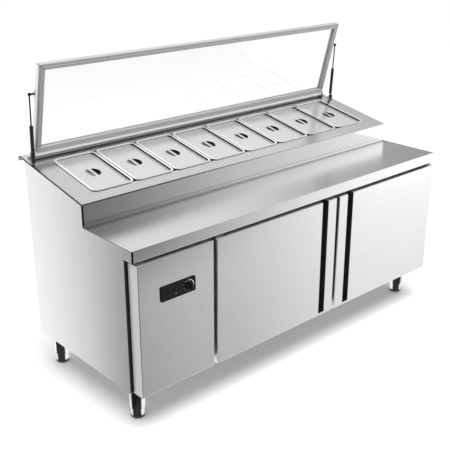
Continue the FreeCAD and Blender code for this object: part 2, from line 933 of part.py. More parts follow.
def lid_outline(y0, y1, z0, z1):
    """The frame's outside: a plate with a raised middle, stepped down along the ends and the top."""
    step_y = y0 + lid_step_depth
    side = lid_half - lid_step
    top_z = z1 - lid_step
    plate = rounded_plate(-lid_half, lid_half, step_y, y1, z0, z1, lid_corner_radius, axis=1)
    plate = plate.makeFillet(lid_edge_radius, edges_at(plate, 1, step_y) + edges_at(plate, 1, y1))
    raised = rounded_plate(-side, side, y0, y1 - lid_step_depth, z0, top_z, lid_corner_radius, axis=1)
    raised = raised.makeFillet(lid_edge_radius, edges_at(raised, 1, y0))
    return plate.fuse(raised)


def lid_rails():
    y0 = -lid_axis_depth
    y1 = y0 + lid_depth
    z0 = rail_bottom()
    z1 = lid_height
    inner = lid_half - lid_stile
    low = z0 + lid_bottom_rail
    high = z1 - lid_top_rail
    outline = lid_outline(y0, y1, z0, z1)
    slot = lid_glass_box(glass_gap)
    wall = lid_wall
    front_core = (y0 + wall, y0 + glass_setback - glass_gap - wall)
    rear_core = (y0 + glass_setback + glass_thickness + glass_gap + wall, y1 - wall)
    bottom = prism_along_y([(-lid_half, z0), (lid_half, z0), (inner, low), (-inner, low)], y0, y1)
    top = prism_along_y([(-lid_half, z1), (lid_half, z1), (inner, high), (-inner, high)], y0, y1)
    stile = prism_along_y([(-lid_half, z0), (-inner, low), (-inner, high), (-lid_half, z1)], y0, y1)
    end = inner - wall
    for (core_y0, core_y1), edge in ((front_core, lid_step + wall), (rear_core, wall)):
        bottom = bottom.cut(box(-end, end, core_y0, core_y1, z0 + wall, low - wall))
        top = top.cut(box(-end, end, core_y0, core_y1, high + wall, z1 - edge))
        stile = stile.cut(box(-lid_half + edge, -end - 2 * wall, core_y0, core_y1, low + wall, high - wall))
    rails = [bottom, top, stile, mirrored(stile)]
    return [rail.common(outline).cut(slot) for rail in rails]


def lid_studs():
    eye_side = strut_x - strut_eye_width / 2 - strut_open_gap
    start = lid_half + seat_gap
    y = strut_stud_depth
    z = strut_stud_height
    pad = rounded_plate(
        start,
        start + strut_bracket,
        y - strut_eye_radius,
        y + strut_eye_radius,
        z - 2 * strut_eye_radius,
        z + 2 * strut_eye_radius,
        strut_eye_radius - strut_side_gap,
        axis=0,
    )
    stud = pad.fuse(x_bar(start, eye_side, y, z, strut_stud_radius)).removeSplitter()
    return [stud, mirrored(stud)]


def lid_hinge_rail():
    length = lid_half - strut_bracket
    core = length - hinge_rail_plug
    y0 = -hinge_rail_radius + hinge_rail_step
    y1 = lid_depth - lid_axis_depth
    rail = x_bar(-length, length, 0, 0, hinge_rail_radius)
    rail = rail.fuse(box(-length, length, y0, y1, 0, rail_bottom() - seat_gap)).removeSplitter()
    rail = rail.cut(x_bar(-core, core, 0, 0, hinge_rail_radius - hinge_rail_wall))
    bore_start = length - lid_pin_reach - seat_gap
    bore = x_bar(bore_start, length + cut_margin, 0, 0, lid_pin_radius + pin_clearance)
    return rail.cut(bore).cut(mirrored(bore))


def lid_hinge_bracket():
    x0 = lid_half + lid_bracket_gap
    x1 = x0 + lid_bracket_plate
    r = hinge_rail_radius
    run = lid_axis_run
    rise = lid_axis_rise
    plate = box(x0, x1, run - r, run + r, seat_gap, rise)
    plate = plate.fuse(x_bar(x0, x1, run, rise, r))
    flange = box(x0, x1 + lid_bracket_flange, run - r, run + r, seat_gap, seat_gap + lid_bracket_plate)
    pin = x_bar(lid_half - strut_bracket - lid_pin_reach, x1, run, rise, lid_pin_radius)
    return on_deck(plate.fuse(flange).fuse(pin).removeSplitter())


# Gas struts, built upright from their lower pivot and then leaned to the lid's stud
def strut_foot():
    return deck_point(strut_x, strut_foot_run, strut_foot_rise)


def strut_top():
    lean = math.radians(lid_lean)
    axis = lid_axis()
    y = axis.y + strut_stud_depth * math.cos(lean) - strut_stud_height * math.sin(lean)
    z = axis.z + strut_stud_depth * math.sin(lean) + strut_stud_height * math.cos(lean)
    return Vector(strut_x, y, z)


def strut_length():
    return (strut_top() - strut_foot()).Length


def strut_placed(shape):
    reach = strut_top() - strut_foot()
    lean = math.degrees(math.atan2(-reach.y, reach.z))
    return turned(shape, lean, strut_foot())


def strut_eye(z):
    half_width = strut_eye_width / 2
    ring = x_bar(-half_width, half_width, 0, z, strut_eye_radius)
    hole = x_bar(-strut_eye_width, strut_eye_width, 0, z, strut_stud_radius + pin_clearance)
    return ring, hole


def strut_tube():
    ring, hole = strut_eye(0)
    top = strut_neck + strut_tube_length
    body = z_bar(0, 0, strut_neck, top, strut_tube_radius)
    body = body.makeFillet(strut_edge_radius, edges_at(body, 2, strut_neck) + edges_at(body, 2, top))
    neck = z_bar(0, 0, strut_eye_radius / 2, 2 * strut_neck, strut_stud_radius)
    bore = z_bar(0, 0, 2 * strut_neck, top + cut_margin, strut_rod_radius + pin_clearance)
    return strut_placed(ring.fuse(neck).fuse(body).cut(hole).cut(bore).removeSplitter())


def strut_rod():
    top = strut_length()
    ring, hole = strut_eye(top)
    start = strut_neck + strut_tube_length / 2
    rod = z_bar(0, 0, start, top - strut_eye_radius / 2, strut_rod_radius)
    return strut_placed(rod.fuse(ring).cut(hole).removeSplitter())


def strut_foot_bracket():
    run = strut_foot_run
    rise = strut_foot_rise
    r = strut_eye_radius
    x0 = strut_x + strut_tube_radius + strut_side_gap
    x1 = x0 + strut_bracket
    inner_x = strut_x - strut_eye_width / 2
    plate = box(x0, x1, run - r, run + r, seat_gap, rise).fuse(x_bar(x0, x1, run, rise, r))
    flange = box(inner_x, x1, run - 2 * r, run + 2 * r, seat_gap, seat_gap + strut_bracket)
    stud = x_bar(inner_x, x1, run, rise, strut_stud_radius)
    return on_deck(plate.fuse(flange).fuse(stud).removeSplitter())


# Legs and feet
def leg_places():
    x = half - leg_inset
    return [(-x, leg_front), (x, leg_front), (-x, leg_rear), (x, leg_rear)]


def leg(x, y):
    top = base_height - seat_gap
    tube = z_bar(x, y, leg_bottom, top, leg_radius)
    plate = z_bar(x, y, top - leg_plate, top, leg_plate_radius)
    bore_top = leg_bottom + foot_reach + cut_margin
    bore = z_bar(x, y, leg_bottom - cut_margin, bore_top, foot_radius + pin_clearance)
    tube = tube.makeFillet(leg_edge_radius, edges_at(tube, 2, leg_bottom))
    return tube.fuse(plate).cut(bore).removeSplitter()


def foot(x, y):
    pad = z_bar(x, y, 0, foot_pad_height, foot_pad_radius)
    pad = pad.makeFillet(foot_pad_round, edges_at(pad, 2, 0))
    sleeve = z_bar(x, y, foot_pad_height / 2, leg_bottom + foot_reach, foot_radius)
    return pad.fuse(sleeve).removeSplitter()


# Refrigeration set
def coil_row_heights(z0, z1):
    rows = int((z1 - z0) // coil_row_pitch)
    return [z0 + (row + 0.5) * (z1 - z0) / rows for row in range(rows)]


def finned_coil(x0, x1, y0, y1, z0, z1):
    count = int((x1 - x0) // coil_fin_pitch)
    step = (x1 - x0 - coil_fin) / count
    r = coil_tube_radius
    pieces = [box(x0 + i * step, x0 + i * step + coil_fin, y0, y1, z0, z1) for i in range(count + 1)]
    for z in coil_row_heights(z0, z1):
        pieces.append(x_bar(x0 - r, x1 + r, (y0 + y1) / 2, z, r))
    return pieces[0].multiFuse(pieces[1:])


def condenser():
    x0 = fan_x - shroud_width / 2
    x1 = fan_x + shroud_width / 2
    z0 = fan_height - shroud_height / 2
    z1 = fan_height + shroud_height / 2
    margin = 3 * coil_tube_radius
    coil = finned_coil(x0 + margin, x1 - margin, coil_front_y, coil_rear_y, z0, z1)
    back = coil_front_y - seat_gap
    ring = fan_radius + fan_ring_gap
    plate = box(x0, x1, back - sheet, back, z0, z1)
    collar = y_bar(fan_x, shroud_front_y, back, fan_height, ring + sheet)
    stand = box(x0, x1, back - shroud_depth, back, floor_z + seat_gap, floor_z + sheet + seat_gap)
    leg_plate_low = box(x0, x1, back - sheet, back, floor_z + seat_gap, z0)
    opening = y_bar(fan_x, shroud_front_y - sheet, back + sheet, fan_height, ring)
    motor_back = shroud_front_y - fan_ring_gap
    motor = y_bar(fan_x, motor_back - motor_length, motor_back, fan_height, motor_radius)
    motor = motor.makeFillet(motor_edge_radius, edges_at(motor, 1, motor_back - motor_length))
    shroud = plate.fuse(collar).fuse(stand).fuse(leg_plate_low).cut(opening)
    for side in (-1, 1):
        arm_x0 = fan_x + side * (motor_radius - motor_arm / 2)
        arm_x1 = fan_x + side * (ring + sheet)
        low_x = min(arm_x0, arm_x1)
        high_x = max(arm_x0, arm_x1)
        low_z = fan_height - motor_arm / 2
        high_z = fan_height + motor_arm / 2
        arm = box(low_x, high_x, motor_back - sheet, motor_back, low_z, high_z)
        tip_x0 = fan_x + side * (ring + sheet / 2) - sheet / 2
        tip = box(tip_x0, tip_x0 + sheet, motor_back - sheet, shroud_front_y + sheet, low_z, high_z)
        shroud = shroud.fuse(arm).fuse(tip)
    shaft = y_bar(fan_x, motor_back - cut_margin, fan_back_y(), fan_height, fan_shaft_radius)
    return [coil, shroud.fuse(motor).fuse(shaft).removeSplitter()]


def fan_front_y():
    return shroud_front_y - fan_ring_gap / 2


def fan_back_y():
    return fan_front_y() + fan_hub_length


def condenser_fan():
    y0 = fan_front_y()
    y1 = fan_back_y()
    middle = (y0 + y1) / 2
    hub = y_bar(fan_x, y0, y1, fan_height, fan_hub_radius)
    hub = hub.makeFillet(bend_radius, edges_at(hub, 1, y0))
    half_chord = fan_blade_chord / 2
    half_thick = fan_blade_thickness / 2
    root = fan_hub_radius - 2 * fan_blade_thickness
    blade = box(-half_chord, half_chord, -half_thick, half_thick, root, fan_radius + half_chord)
    blade = placed(blade, Placement(Vector(), Rotation(Vector(0, 0, 1), fan_pitch_angle)))
    blade = blade.common(y_bar(0, -half_chord, half_chord, 0, fan_radius))
    solid = hub
    for index in range(fan_blades):
        spin = Rotation(Vector(0, 1, 0), index * 360.0 / fan_blades)
        solid = solid.fuse(placed(blade, Placement(Vector(fan_x, middle, fan_height), spin)))
    r = fan_radius
    slab = box(fan_x - r, fan_x + r, y0, y1, fan_height - r, fan_height + r)
    bore = y_bar(fan_x, y0 - cut_margin, y1 + cut_margin, fan_height, fan_shaft_radius + pin_clearance)
    return solid.common(slab).cut(bore).removeSplitter()


def compressor():
    x = fan_x
    y = compressor_y
    z0 = floor_z + seat_gap
    plate_z = z0 + compressor_foot
    r = compressor_radius
    can = z_bar(x, y, plate_z + sheet, plate_z + compressor_height, r)
    can = can.makeFillet(r / 2, edges_at(can, 2, plate_z + compressor_height))
    can = can.makeFillet(r / 5, edges_at(can, 2, plate_z + sheet))
    x0 = x - r - compressor_foot
    x1 = x + r + compressor_foot
    plate = rounded_plate(x0, x1, y - r, y + r, plate_z, plate_z + 2 * sheet, compressor_foot)
    box_y = y - r - compressor_foot
    box_z = plate_z + r / 2
    terminal = rounded_plate(x - r / 3, x + r / 3, box_y, y, box_z, plate_z + r, bend_radius, axis=1)
    body = can.fuse(plate).fuse(terminal)
    for side_x in (-1, 1):
        for side_y in (-1, 1):
            foot_x = x + side_x * r
            foot_y = y + side_y * (r - compressor_foot)
            body = body.fuse(z_bar(foot_x, foot_y, z0, plate_z + sheet, compressor_foot - sheet))
    return body.removeSplitter()


def compressor_top():
    return floor_z + seat_gap + compressor_foot + compressor_height + seat_gap


def refrigerant_pipes():
    run_z = suction_z()
    offset = compressor_radius / 3
    start = Vector(fan_x + offset, compressor_y, compressor_top())
    evaporator_end = evaporator_left - coil_tube_radius - seat_gap
    suction = [
        start,
        Vector(start.x, start.y, run_z),
        Vector(start.x, suction_y(), run_z),
        Vector(evaporator_end, suction_y(), run_z),
    ]
    top_z = fan_height + shroud_height / 2
    rise = Vector(fan_x - offset, compressor_y, compressor_top())
    coil_y = (coil_front_y + coil_rear_y) / 2
    discharge = [
        rise,
        Vector(rise.x, rise.y, top_z + 3 * pipe_bend),
        Vector(rise.x, coil_y, top_z + 3 * pipe_bend),
        Vector(rise.x, coil_y, top_z + seat_gap),
    ]
    return [tube_path(suction, pipe_radius), tube_path(discharge, pipe_radius)]


def evaporator():
    x0 = evaporator_left
    x1 = x0 + evaporator_width
    y1 = liner_rear_y - seat_gap
    z1 = ceiling_height - evaporator_drop
    return finned_coil(x0, x1, y1 - evaporator_depth, y1, z1 - evaporator_height, z1)


def cable_gland():
    y0 = rear_y - sheet - gland_length
    body = y_bar(gland_x, y0, rear_y + gland_length, gland_height, gland_radius)
    flange = y_bar(gland_x, rear_y + seat_gap, rear_y + gland_length / 2, gland_height, gland_flange)
    inside_y = rear_y - sheet
    nut = y_bar(gland_x, inside_y - gland_length / 2, inside_y - seat_gap, gland_height, gland_flange)
    outside_y = rear_y + gland_length
    hole = y_bar(gland_x, y0 - cut_margin, outside_y + cut_margin, gland_height, gland_radius / 2)
    return body.fuse(flange).fuse(nut).cut(hole).removeSplitter()


def save_shell():
    side = side_panel()
    save("left_side_panel", side)
    save("right_side_panel", mirrored(side))
    save("rear_panel", rear_panel())
    save("base_panel", base_panel())
    save("worktop", worktop())
    save("pan_deck", pan_deck())
    save("pan_well", *pan_well())
    save("front_frame", *front_frame())
    save("insulation", *insulation())
    save("cold_room_liner", *cold_room_liner())
    save("wire_shelves", *wire_shelves())


def save_doors():
    left_pivot = left_door_x0 + pivot_edge
    right_pivot = right_door_x1 - pivot_edge
    left_groove = left_door_x1 - strip_width - grip_width
    right_groove = right_door_x0 + strip_width
    doors = (
        ("left_door", left_door_x0, left_door_x1, left_groove, left_pivot),
        ("right_door", right_door_x0, right_door_x1, right_groove, right_pivot),
    )
    for name, x0, x1, groove_x, pivot_x in doors:
        save(name + "_skin", door_skin_shell(x0, x1, groove_x, pivot_x))
        save(name + "_foam", door_foam(x0, x1, groove_x, pivot_x))
        save(name + "_inner_panel", door_liner(x0, x1))
        save(name + "_grip", door_grip(groove_x))
        save(name + "_gasket", *gasket(x0, x1))
    save("machine_cover", machine_cover())
    save("machine_cover_gasket", *gasket(cover_x0, cover_x1))
    save("control_panel", control_plate(), thermostat_body())
    save("control_knob", control_knob())


def save_pans():
    flat_pan = pan()
    flat_lid = pan_lid()
    for index in range(pan_count):
        place = pan_place(index)
        save("food_pan_%d" % (index + 1), on_deck(placed(flat_pan, place)))
        save("pan_lid_%d" % (index + 1), on_deck(placed(flat_lid, place)))


def save_lid():
    save("lid_frame", *[lid_placed(piece) for piece in lid_rails() + lid_studs()])
    save("lid_glass", lid_placed(lid_glass_box(0)))
    save("lid_hinge_rail", lid_placed(lid_hinge_rail()))
    tube = strut_tube()
    rod = strut_rod()
    save("right_strut_tube", tube)
    save("right_strut_rod", rod)
    save("left_strut_tube", mirrored(tube))
    save("left_strut_rod", mirrored(rod))


def save_brackets():
    pivots = (cover_x0 + pivot_edge, left_door_x0 + pivot_edge, right_door_x1 - pivot_edge)
    brackets = []
    for pivot_x in pivots:
        brackets += hinge_pair(pivot_x)
    for bracket in (lid_hinge_bracket(), strut_foot_bracket()):
        brackets += [bracket, mirrored(bracket)]
    save("hinge_brackets", *brackets)


def save_legs():
    save("legs", *[leg(x, y) for x, y in leg_places()])
    for index, (x, y) in enumerate(leg_places()):
        save("levelling_foot_%d" % (index + 1), foot(x, y))


def save_refrigeration():
    save("condenser", *condenser())
    save("condenser_fan", condenser_fan())
    save("compressor", compressor())
    save("refrigerant_pipes", *refrigerant_pipes())
    save("evaporator", evaporator())
    save("cable_gland", cable_gland())


def main():
    os.makedirs("parts", exist_ok=True)
    save_shell()
    save_doors()
    save_pans()
    save_lid()
    save_brackets()
    save_legs()
    save_refrigeration()


main()
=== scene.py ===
import json
import math

import bmesh
import bpy
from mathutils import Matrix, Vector


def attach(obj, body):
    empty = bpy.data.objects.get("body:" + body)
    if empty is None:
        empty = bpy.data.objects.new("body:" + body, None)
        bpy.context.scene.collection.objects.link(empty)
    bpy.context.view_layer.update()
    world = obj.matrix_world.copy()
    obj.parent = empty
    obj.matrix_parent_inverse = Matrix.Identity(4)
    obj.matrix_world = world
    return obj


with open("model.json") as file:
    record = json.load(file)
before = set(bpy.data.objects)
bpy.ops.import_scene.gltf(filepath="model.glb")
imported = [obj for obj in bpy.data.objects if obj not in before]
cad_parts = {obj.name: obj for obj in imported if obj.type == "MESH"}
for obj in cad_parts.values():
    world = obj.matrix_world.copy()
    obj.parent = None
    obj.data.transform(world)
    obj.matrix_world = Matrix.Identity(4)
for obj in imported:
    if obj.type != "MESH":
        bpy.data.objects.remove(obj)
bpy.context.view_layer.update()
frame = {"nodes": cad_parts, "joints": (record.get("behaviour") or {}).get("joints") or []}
nodes = frame["nodes"]


def joint_place(name):
    """Where a joint of the frame lies at rest."""
    return Vector([joint["pos_m"] for joint in frame["joints"] if joint["name"] == name][0])


# Camera of the photograph
CAMERA_PLACE = (-2.3533, -2.4664, 1.8605)
CAMERA_AZIMUTH = -42.227
CAMERA_ELEVATION = 21.664
CAMERA_SENSOR = 36.0
CAMERA_LENS = 64.06
CAMERA_SHIFT = (-0.0089, 0.0019)
CAMERA_REACH = 200.0

# Places on the cabinet, in metres: ends and faces from the middle, and a height above the floor
SIDE_HALF = 0.9
OUTER_END = 0.86
DOOR_FACE = -0.37285
PLATE_FACE = -0.37605
SKIRT_FACE = -0.38015
REAR_FACE = 0.34815
FOOT_PAD_TOP = 0.0118

# Deck, pans and pan lids: levels are square to the sloping deck, runs go up along it
DECK_FRONT_Y = -0.05685
DECK_FRONT_Z = 0.842
DECK_SLOPE = math.atan2(91.0, 454.0)
DECK_SINE = math.sin(DECK_SLOPE)
DECK_COSINE = math.cos(DECK_SLOPE)
DECK_LEVEL = DECK_FRONT_Z * DECK_COSINE - DECK_FRONT_Y * DECK_SINE
DECK_START = DECK_FRONT_Y * DECK_COSINE + DECK_FRONT_Z * DECK_SINE
RIM_LEVEL = DECK_LEVEL + 0.001
FRONT_RIM_END = DECK_START + 0.080
DISH_LEVEL = DECK_LEVEL - 0.0085
DISH_EDGE = 0.001
PAN_COUNT = 8
PAN_PITCH = 0.2025
PAN_ROW_START = -0.80525
FOOT_COUNT = 4

# Glass lid: heights go up along the open lid from its hinge line
LID_HINGE = joint_place("lid_hinge")
LID_LEAN = math.radians(14.5)
LID_HALF = 0.860
LID_TOP = 0.388
LID_LOW_RAIL = 0.036
LID_TOP_RAIL = 0.022
LID_STILE = 0.027
LID_EDGE = 0.002
MITRE_WIDTH = 0.0016
STUD_PLATE_FACE = LID_HALF + 0.0032
STUD_PIN_START = LID_HALF + 0.0034
STUD_HEIGHT = 0.266
STUD_DEPTH = 0.003

# Painted shade across a grip dish, lighter on one half and dark on the other: place as a share of a pan's
# width, and a tone
DISH_MIDDLE = 0.5
PAINTED_DISH_SHADES = [(0.485, 0.62), (0.505, 0.05), (0.60, 0.02)]

# Directions
UP = (0.0, 0.0, 1.0)
ALONG = (1.0, 0.0, 0.0)
BACK = (0.0, 1.0, 0.0)
FORWARD = (0.0, -1.0, 0.0)
DECK_UP = (0.0, -DECK_SINE, DECK_COSINE)
DECK_RUN = (0.0, DECK_COSINE, DECK_SINE)
LID_UP = (0.0, -math.sin(LID_LEAN), math.cos(LID_LEAN))
RAIL_LIGHT = (0.0, -0.6, 0.8)
LEG_SHADE = (-0.69, -0.72, 0.0)
X_AXIS, Y_AXIS, Z_AXIS = range(3)

# Spans that a mask or a noise is stretched from, and the facing that tells flat from upright
WHOLE = (0.0, 1.0)
NOISE_SPAN = (0.25, 0.75)
EDGE_SPAN = (0.80, 0.97)
LEVEL_SPAN = (0.85, 0.97)
WALL_SPAN = (0.60, 0.92)
BAND_SPAN = (0.72, 0.82)
HALF_TURNED = 0.5

# Painted shade and reflection on the steel: dark lines along edges, shaded strips and the dark side of the
# legs; the dark tone also serves the lid's real joints and pins
SEAM_AND_SHADE_TONE = 0.02
PAINTED_REFLECTION_TONE = 0.03
SHADE_LINE_START = -0.8925
SHADE_LINE_WIDTH = 0.007
SHADE_LINE_FADE = (-0.45, 0.25)
RISER_FOOT_SHADE = (-0.102, -0.064)
RISER_FOOT_FACING = (0.3, 0.8)
RISER_FOOT_FADE = (-0.9, 0.1)
RISER_FOOT_LEVELS = (0.72, 0.35)
RAIL_SHADE = (-0.026, -0.010)
RAIL_SHADE_LEVEL = 0.5
RAIL_SHADE_END = 0.013
RAIL_TOP = (0.0, 0.006)

# How rough, dull or metallic some places of the steel are
MATT_ROUGH = 0.11
END_DULLNESS = 0.7
TOP_DULLNESS = 0.2
PAN_LID_METAL = 0.5
DISH_METAL = 0.3

# Screws: radius of the heads and where they sit
DECK_SCREW = 0.0032
STUD_SCREW = 0.0030
REAR_SCREW = 0.0045
HINGE_SCREW_X = 0.8722
HINGE_SCREW_RUNS = (0.409, 0.423)
HINGE_PLATE_TOP = 0.0042
STRUT_SCREW_X = 0.8890
STRUT_SCREW_RUNS = (0.3575, 0.3785)
STRUT_PLATE_TOP = 0.0032
STUD_SCREW_STEP = 0.0095
REAR_COLUMNS = (-0.880, -0.440, 0.0, 0.440, 0.880)
REAR_ROWS = (0.175, 0.890)
REAR_END_ROWS = (0.350, 0.530, 0.710)

# All small fittings: segments of turned ones, and the angle that counts as a sharp edge
TURNED_SEGMENTS = 28
SHARP_ANGLE = math.radians(40.0)

# Dial print round the knob, in degrees clockwise from the top and in metres
KNOB_CENTRE = joint_place("knob_turn")
PRINT_THICKNESS = 0.00015
WEDGE_FIRST = -40.0
WEDGE_LAST = 130.0
WEDGE_STEPS = 24
DIAL_RADIUS = 0.0212
WEDGE_THIN = 0.0006
WEDGE_GROWTH = 0.0042
TICK_DEGREES = range(150, 321, 34)
TICK_HALF = 0.9
TICK_LENGTH = 0.003
POINTER_START = 0.0158
POINTER_END = 0.0192
POINTER_HALVES = (0.0009, 0.0007)

# Lamp on the control plate: profiles are radius and height, from the rim to the axis
LAMP_X = -0.7200
LAMP_Z = 0.5435
RING_PROFILE = [
    (0.0062, 0.0), (0.0062, 0.0008), (0.0056, 0.0012),
    (0.0048, 0.0011), (0.0046, 0.0004), (0.0, 0.0004),
]
LENS_PROFILE = [
    (0.0044, 0.0005), (0.0044, 0.0012), (0.0038, 0.0019),
    (0.0026, 0.0024), (0.0012, 0.0026), (0.0, 0.0027),
]

# Studio
FLOOR_HALF = 30.0
FLOOR_DROP = 0.0005
PAPER_TONE = 0.93
FOOTPRINT_HALF = (0.90, 0.37)
FOOTPRINT_EDGE = (0.0, 0.05)
NEAR_LIFT = 0.25
NEAR_LIFT_SPAN = (-0.09, 0.05)
FAR_LIFT = 0.20
FAR_LIFT_SPAN = (0.1, 2.5)
SKY_FILL = 0.60
SKY_TOP = 0.62
CEILING_POWER = 145.0
CEILING_SIZE = (5.0, 3.0)
CEILING_PLACE = (-0.6, -1.2, 3.6)

# Upright axes for the floor: the photograph's camera mirrored in the door fronts and in the left side
FRONT_PIVOT = (CAMERA_PLACE[0], 2 * DOOR_FACE - CAMERA_PLACE[1], 0.0)
SIDE_PIVOT = (-2 * SIDE_HALF - CAMERA_PLACE[0], CAMERA_PLACE[1], 0.0)

# Where one side of the studio changes into the next: floor by depth, sky by height
FLOOR_DIM_SPAN = (-1.40, -0.58)
FLOOR_DIM_LEVEL = 0.16
FLOOR_FAR_SPAN = (-1.75, -1.40)
FLOOR_SIDE_SPAN = (-0.50, -0.42)
SKY_HIGH_SPAN = (0.42, 0.52)
SKY_TOP_SPAN = (0.78, 0.94)

# How bright the studio looks in the steel: degrees round an upright axis from +X, and a level
FLOOR_NEAR_FRONT = [
    (-110, 0.55), (-86, 0.50), (-76, 0.20), (-68, 0.10), (-60, 0.38), (-54, 0.52), (-50, 0.63),
    (-47, 0.68), (-43, 0.86), (-41, 0.95), (-38, 1.08), (-33, 1.16), (-24, 0.90), (0, 0.70),
]
FLOOR_FAR_FRONT = [
    (-110, 0.55), (-86, 0.45), (-72, 0.10), (-60, 0.14), (-54, 0.26), (-49, 0.50), (-44, 0.78),
    (-39, 1.10), (-34, 1.38), (-24, 0.95), (0, 0.75),
]
FLOOR_SIDE = [
    (0, 0.45), (45, 0.58), (80, 0.50), (100, 0.66), (110, 1.05), (115, 1.30), (118, 1.05),
    (119.5, 0.90), (121, 0.76), (122.5, 0.56), (124.5, 0.34), (130, 0.28), (140, 0.50), (170, 0.60),
]
SKY_LOW = [
    (-180, 0.40), (-130, 0.20), (-75, 0.15), (-59, 0.18), (-55, 0.33), (-51, 0.62), (-47, 0.88),
    (-43, 1.00), (-38, 1.26), (-34, 1.65), (0, 1.0), (25, 0.30), (34, 0.33), (37, 0.40), (41, 0.44),
    (44, 0.60), (47, 0.86), (50, 0.95), (56, 0.98), (90, 0.92), (150, 0.90), (180, 0.40),
]
SKY_HIGH = [
    (-180, 0.45), (-130, 0.30), (-75, 0.20), (-40, 0.18), (-32, 0.22), (-26, 0.50), (-20, 1.15),
    (-10, 1.20), (5, 0.40), (18, 0.50), (25, 1.35), (36, 1.18), (42, 1.04), (50, 1.02), (90, 1.00),
    (150, 0.95), (180, 0.45),
]


# Node helpers
def add(tree, kind, **settings):
    node = tree.nodes.new(kind)
    for name, value in settings.items():
        setattr(node, name, value)
    return node


def plug(tree, source, target):
    tree.links.new(source, target)


def new_material(name):
    material = bpy.data.materials.new(name)
    material.use_nodes = True
    tree = material.node_tree
    return material, tree, tree.nodes["Principled BSDF"]


def even(size):
    """The same value three times."""
    return (size, size, size)


def grey(value):
    """A grey that is very slightly blue."""
    return (value, value, value * 1.005)


def noise(tree, scale, detail):
    coords = add(tree, "ShaderNodeTexCoord")
    mapping = add(tree, "ShaderNodeMapping")
    mapping.inputs["Scale"].default_value = scale
    texture = add(tree, "ShaderNodeTexNoise")
    texture.inputs["Scale"].default_value = 1.0
    texture.inputs["Detail"].default_value = detail
    plug(tree, coords.outputs["Object"], mapping.inputs["Vector"])
    plug(tree, mapping.outputs["Vector"], texture.inputs["Vector"])
    return texture.outputs["Fac"]


def ramp(tree, value, stops):
    node = add(tree, "ShaderNodeValToRGB")
    while len(node.color_ramp.elements) < len(stops):
        node.color_ramp.elements.new(0.5)
    for element, (place, colour) in zip(node.color_ramp.elements, stops):
        element.position = place
        element.color = (*colour, 1.0)
    plug(tree, value, node.inputs["Fac"])
    return node.outputs["Color"]


def remap(tree, value, levels, span=NOISE_SPAN):
    """Stretches a value from a span to a pair of levels, and keeps it between them."""
    node = add(tree, "ShaderNodeMapRange")
    node.inputs["From Min"].default_value = span[0]
    node.inputs["From Max"].default_value = span[1]
    node.inputs["To Min"].default_value = levels[0]
    node.inputs["To Max"].default_value = levels[1]
    plug(tree, value, node.inputs["Value"])
    return node.outputs["Result"]


def math_node(tree, operation, *values):
    """One step of arithmetic on numbers and sockets."""
    node = add(tree, "ShaderNodeMath", operation=operation)
    for socket, value in zip(node.inputs, values):
        if isinstance(value, (int, float)):
            socket.default_value = value
        else:
            plug(tree, value, socket)
    return node.outputs["Value"]


def plus(tree, first, second):
    return math_node(tree, "ADD", first, second)


def minus(tree, first, second):
    return math_node(tree, "SUBTRACT", first, second)


def times(tree, first, second):
    return math_node(tree, "MULTIPLY", first, second)


def larger(tree, first, second):
    return math_node(tree, "MAXIMUM", first, second)


def unsigned(tree, value):
    return math_node(tree, "ABSOLUTE", value)


def is_above(tree, value, limit):
    return math_node(tree, "GREATER_THAN", value, limit)


def is_below(tree, value, limit):
    return math_node(tree, "LESS_THAN", value, limit)


def mix_colour(tree, factor, first, second):
    node = add(tree, "ShaderNodeMix", data_type="RGBA")
    for name, value in (("Factor", factor), ("A", first), ("B", second)):
        socket = [s for s in node.inputs if s.name == name and s.enabled][0]
        if isinstance(value, tuple):
            socket.default_value = (*value, 1.0)
        else:
            plug(tree, value, socket)
    return [s for s in node.outputs if s.enabled][0]


def bump(tree, shader, height, strength, distance):
    node = add(tree, "ShaderNodeBump")
    node.inputs["Strength"].default_value = strength
    node.inputs["Distance"].default_value = distance
    plug(tree, height, node.inputs["Height"])
    plug(tree, node.outputs["Normal"], shader.inputs["Normal"])


def along_direction(tree, vector, direction):
    dot = add(tree, "ShaderNodeVectorMath", operation="DOT_PRODUCT")
    dot.inputs[1].default_value = direction
    plug(tree, vector, dot.inputs[0])
    return dot.outputs["Value"]


def split_vector(tree, vector):
    split = add(tree, "ShaderNodeSeparateXYZ")
    plug(tree, vector, split.inputs["Vector"])
    return split.outputs


# Places on the pieces, as masks and measures for the materials
def place_along(tree, direction):
    """How far a point of the piece lies along a direction, in metres."""
    coords = add(tree, "ShaderNodeTexCoord")
    return along_direction(tree, coords.outputs["Object"], direction)


def facing(tree, direction):
    """How squarely the surface faces a direction, from -1 to 1."""
    geometry = add(tree, "ShaderNodeNewGeometry")
    return along_direction(tree, geometry.outputs["Normal"], direction)


def end_distance(tree):
    """How far a point lies from the middle of the counter, to either side."""
    return unsigned(tree, place_along(tree, ALONG))


def above_hinge(tree, direction):
    """How far a point lies from the lid's hinge line, along a direction."""
    return minus(tree, place_along(tree, direction), LID_HINGE.dot(Vector(direction)))


def dull_edges(tree):
    """The narrow ends of the fronts at the two ends of the counter, and their top edges a little."""
    sideways = unsigned(tree, facing(tree, ALONG))
    outer = is_above(tree, end_distance(tree), OUTER_END)
    ends = times(tree, remap(tree, sideways, (0.0, END_DULLNESS), EDGE_SPAN), outer)
    tops = remap(tree, facing(tree, UP), (0.0, TOP_DULLNESS), EDGE_SPAN)
    return larger(tree, ends, tops)


def worktop_painted_shade(tree):
    """Painted shade: a dark line down the left ends of the riser and the front edge, and a dark band along
    the riser's foot.
    """
    end = is_below(tree, place_along(tree, ALONG), SHADE_LINE_START)
    upright = is_below(tree, facing(tree, UP), HALF_TURNED)
    return larger(tree, times(tree, end, upright), painted_riser_shade(tree))


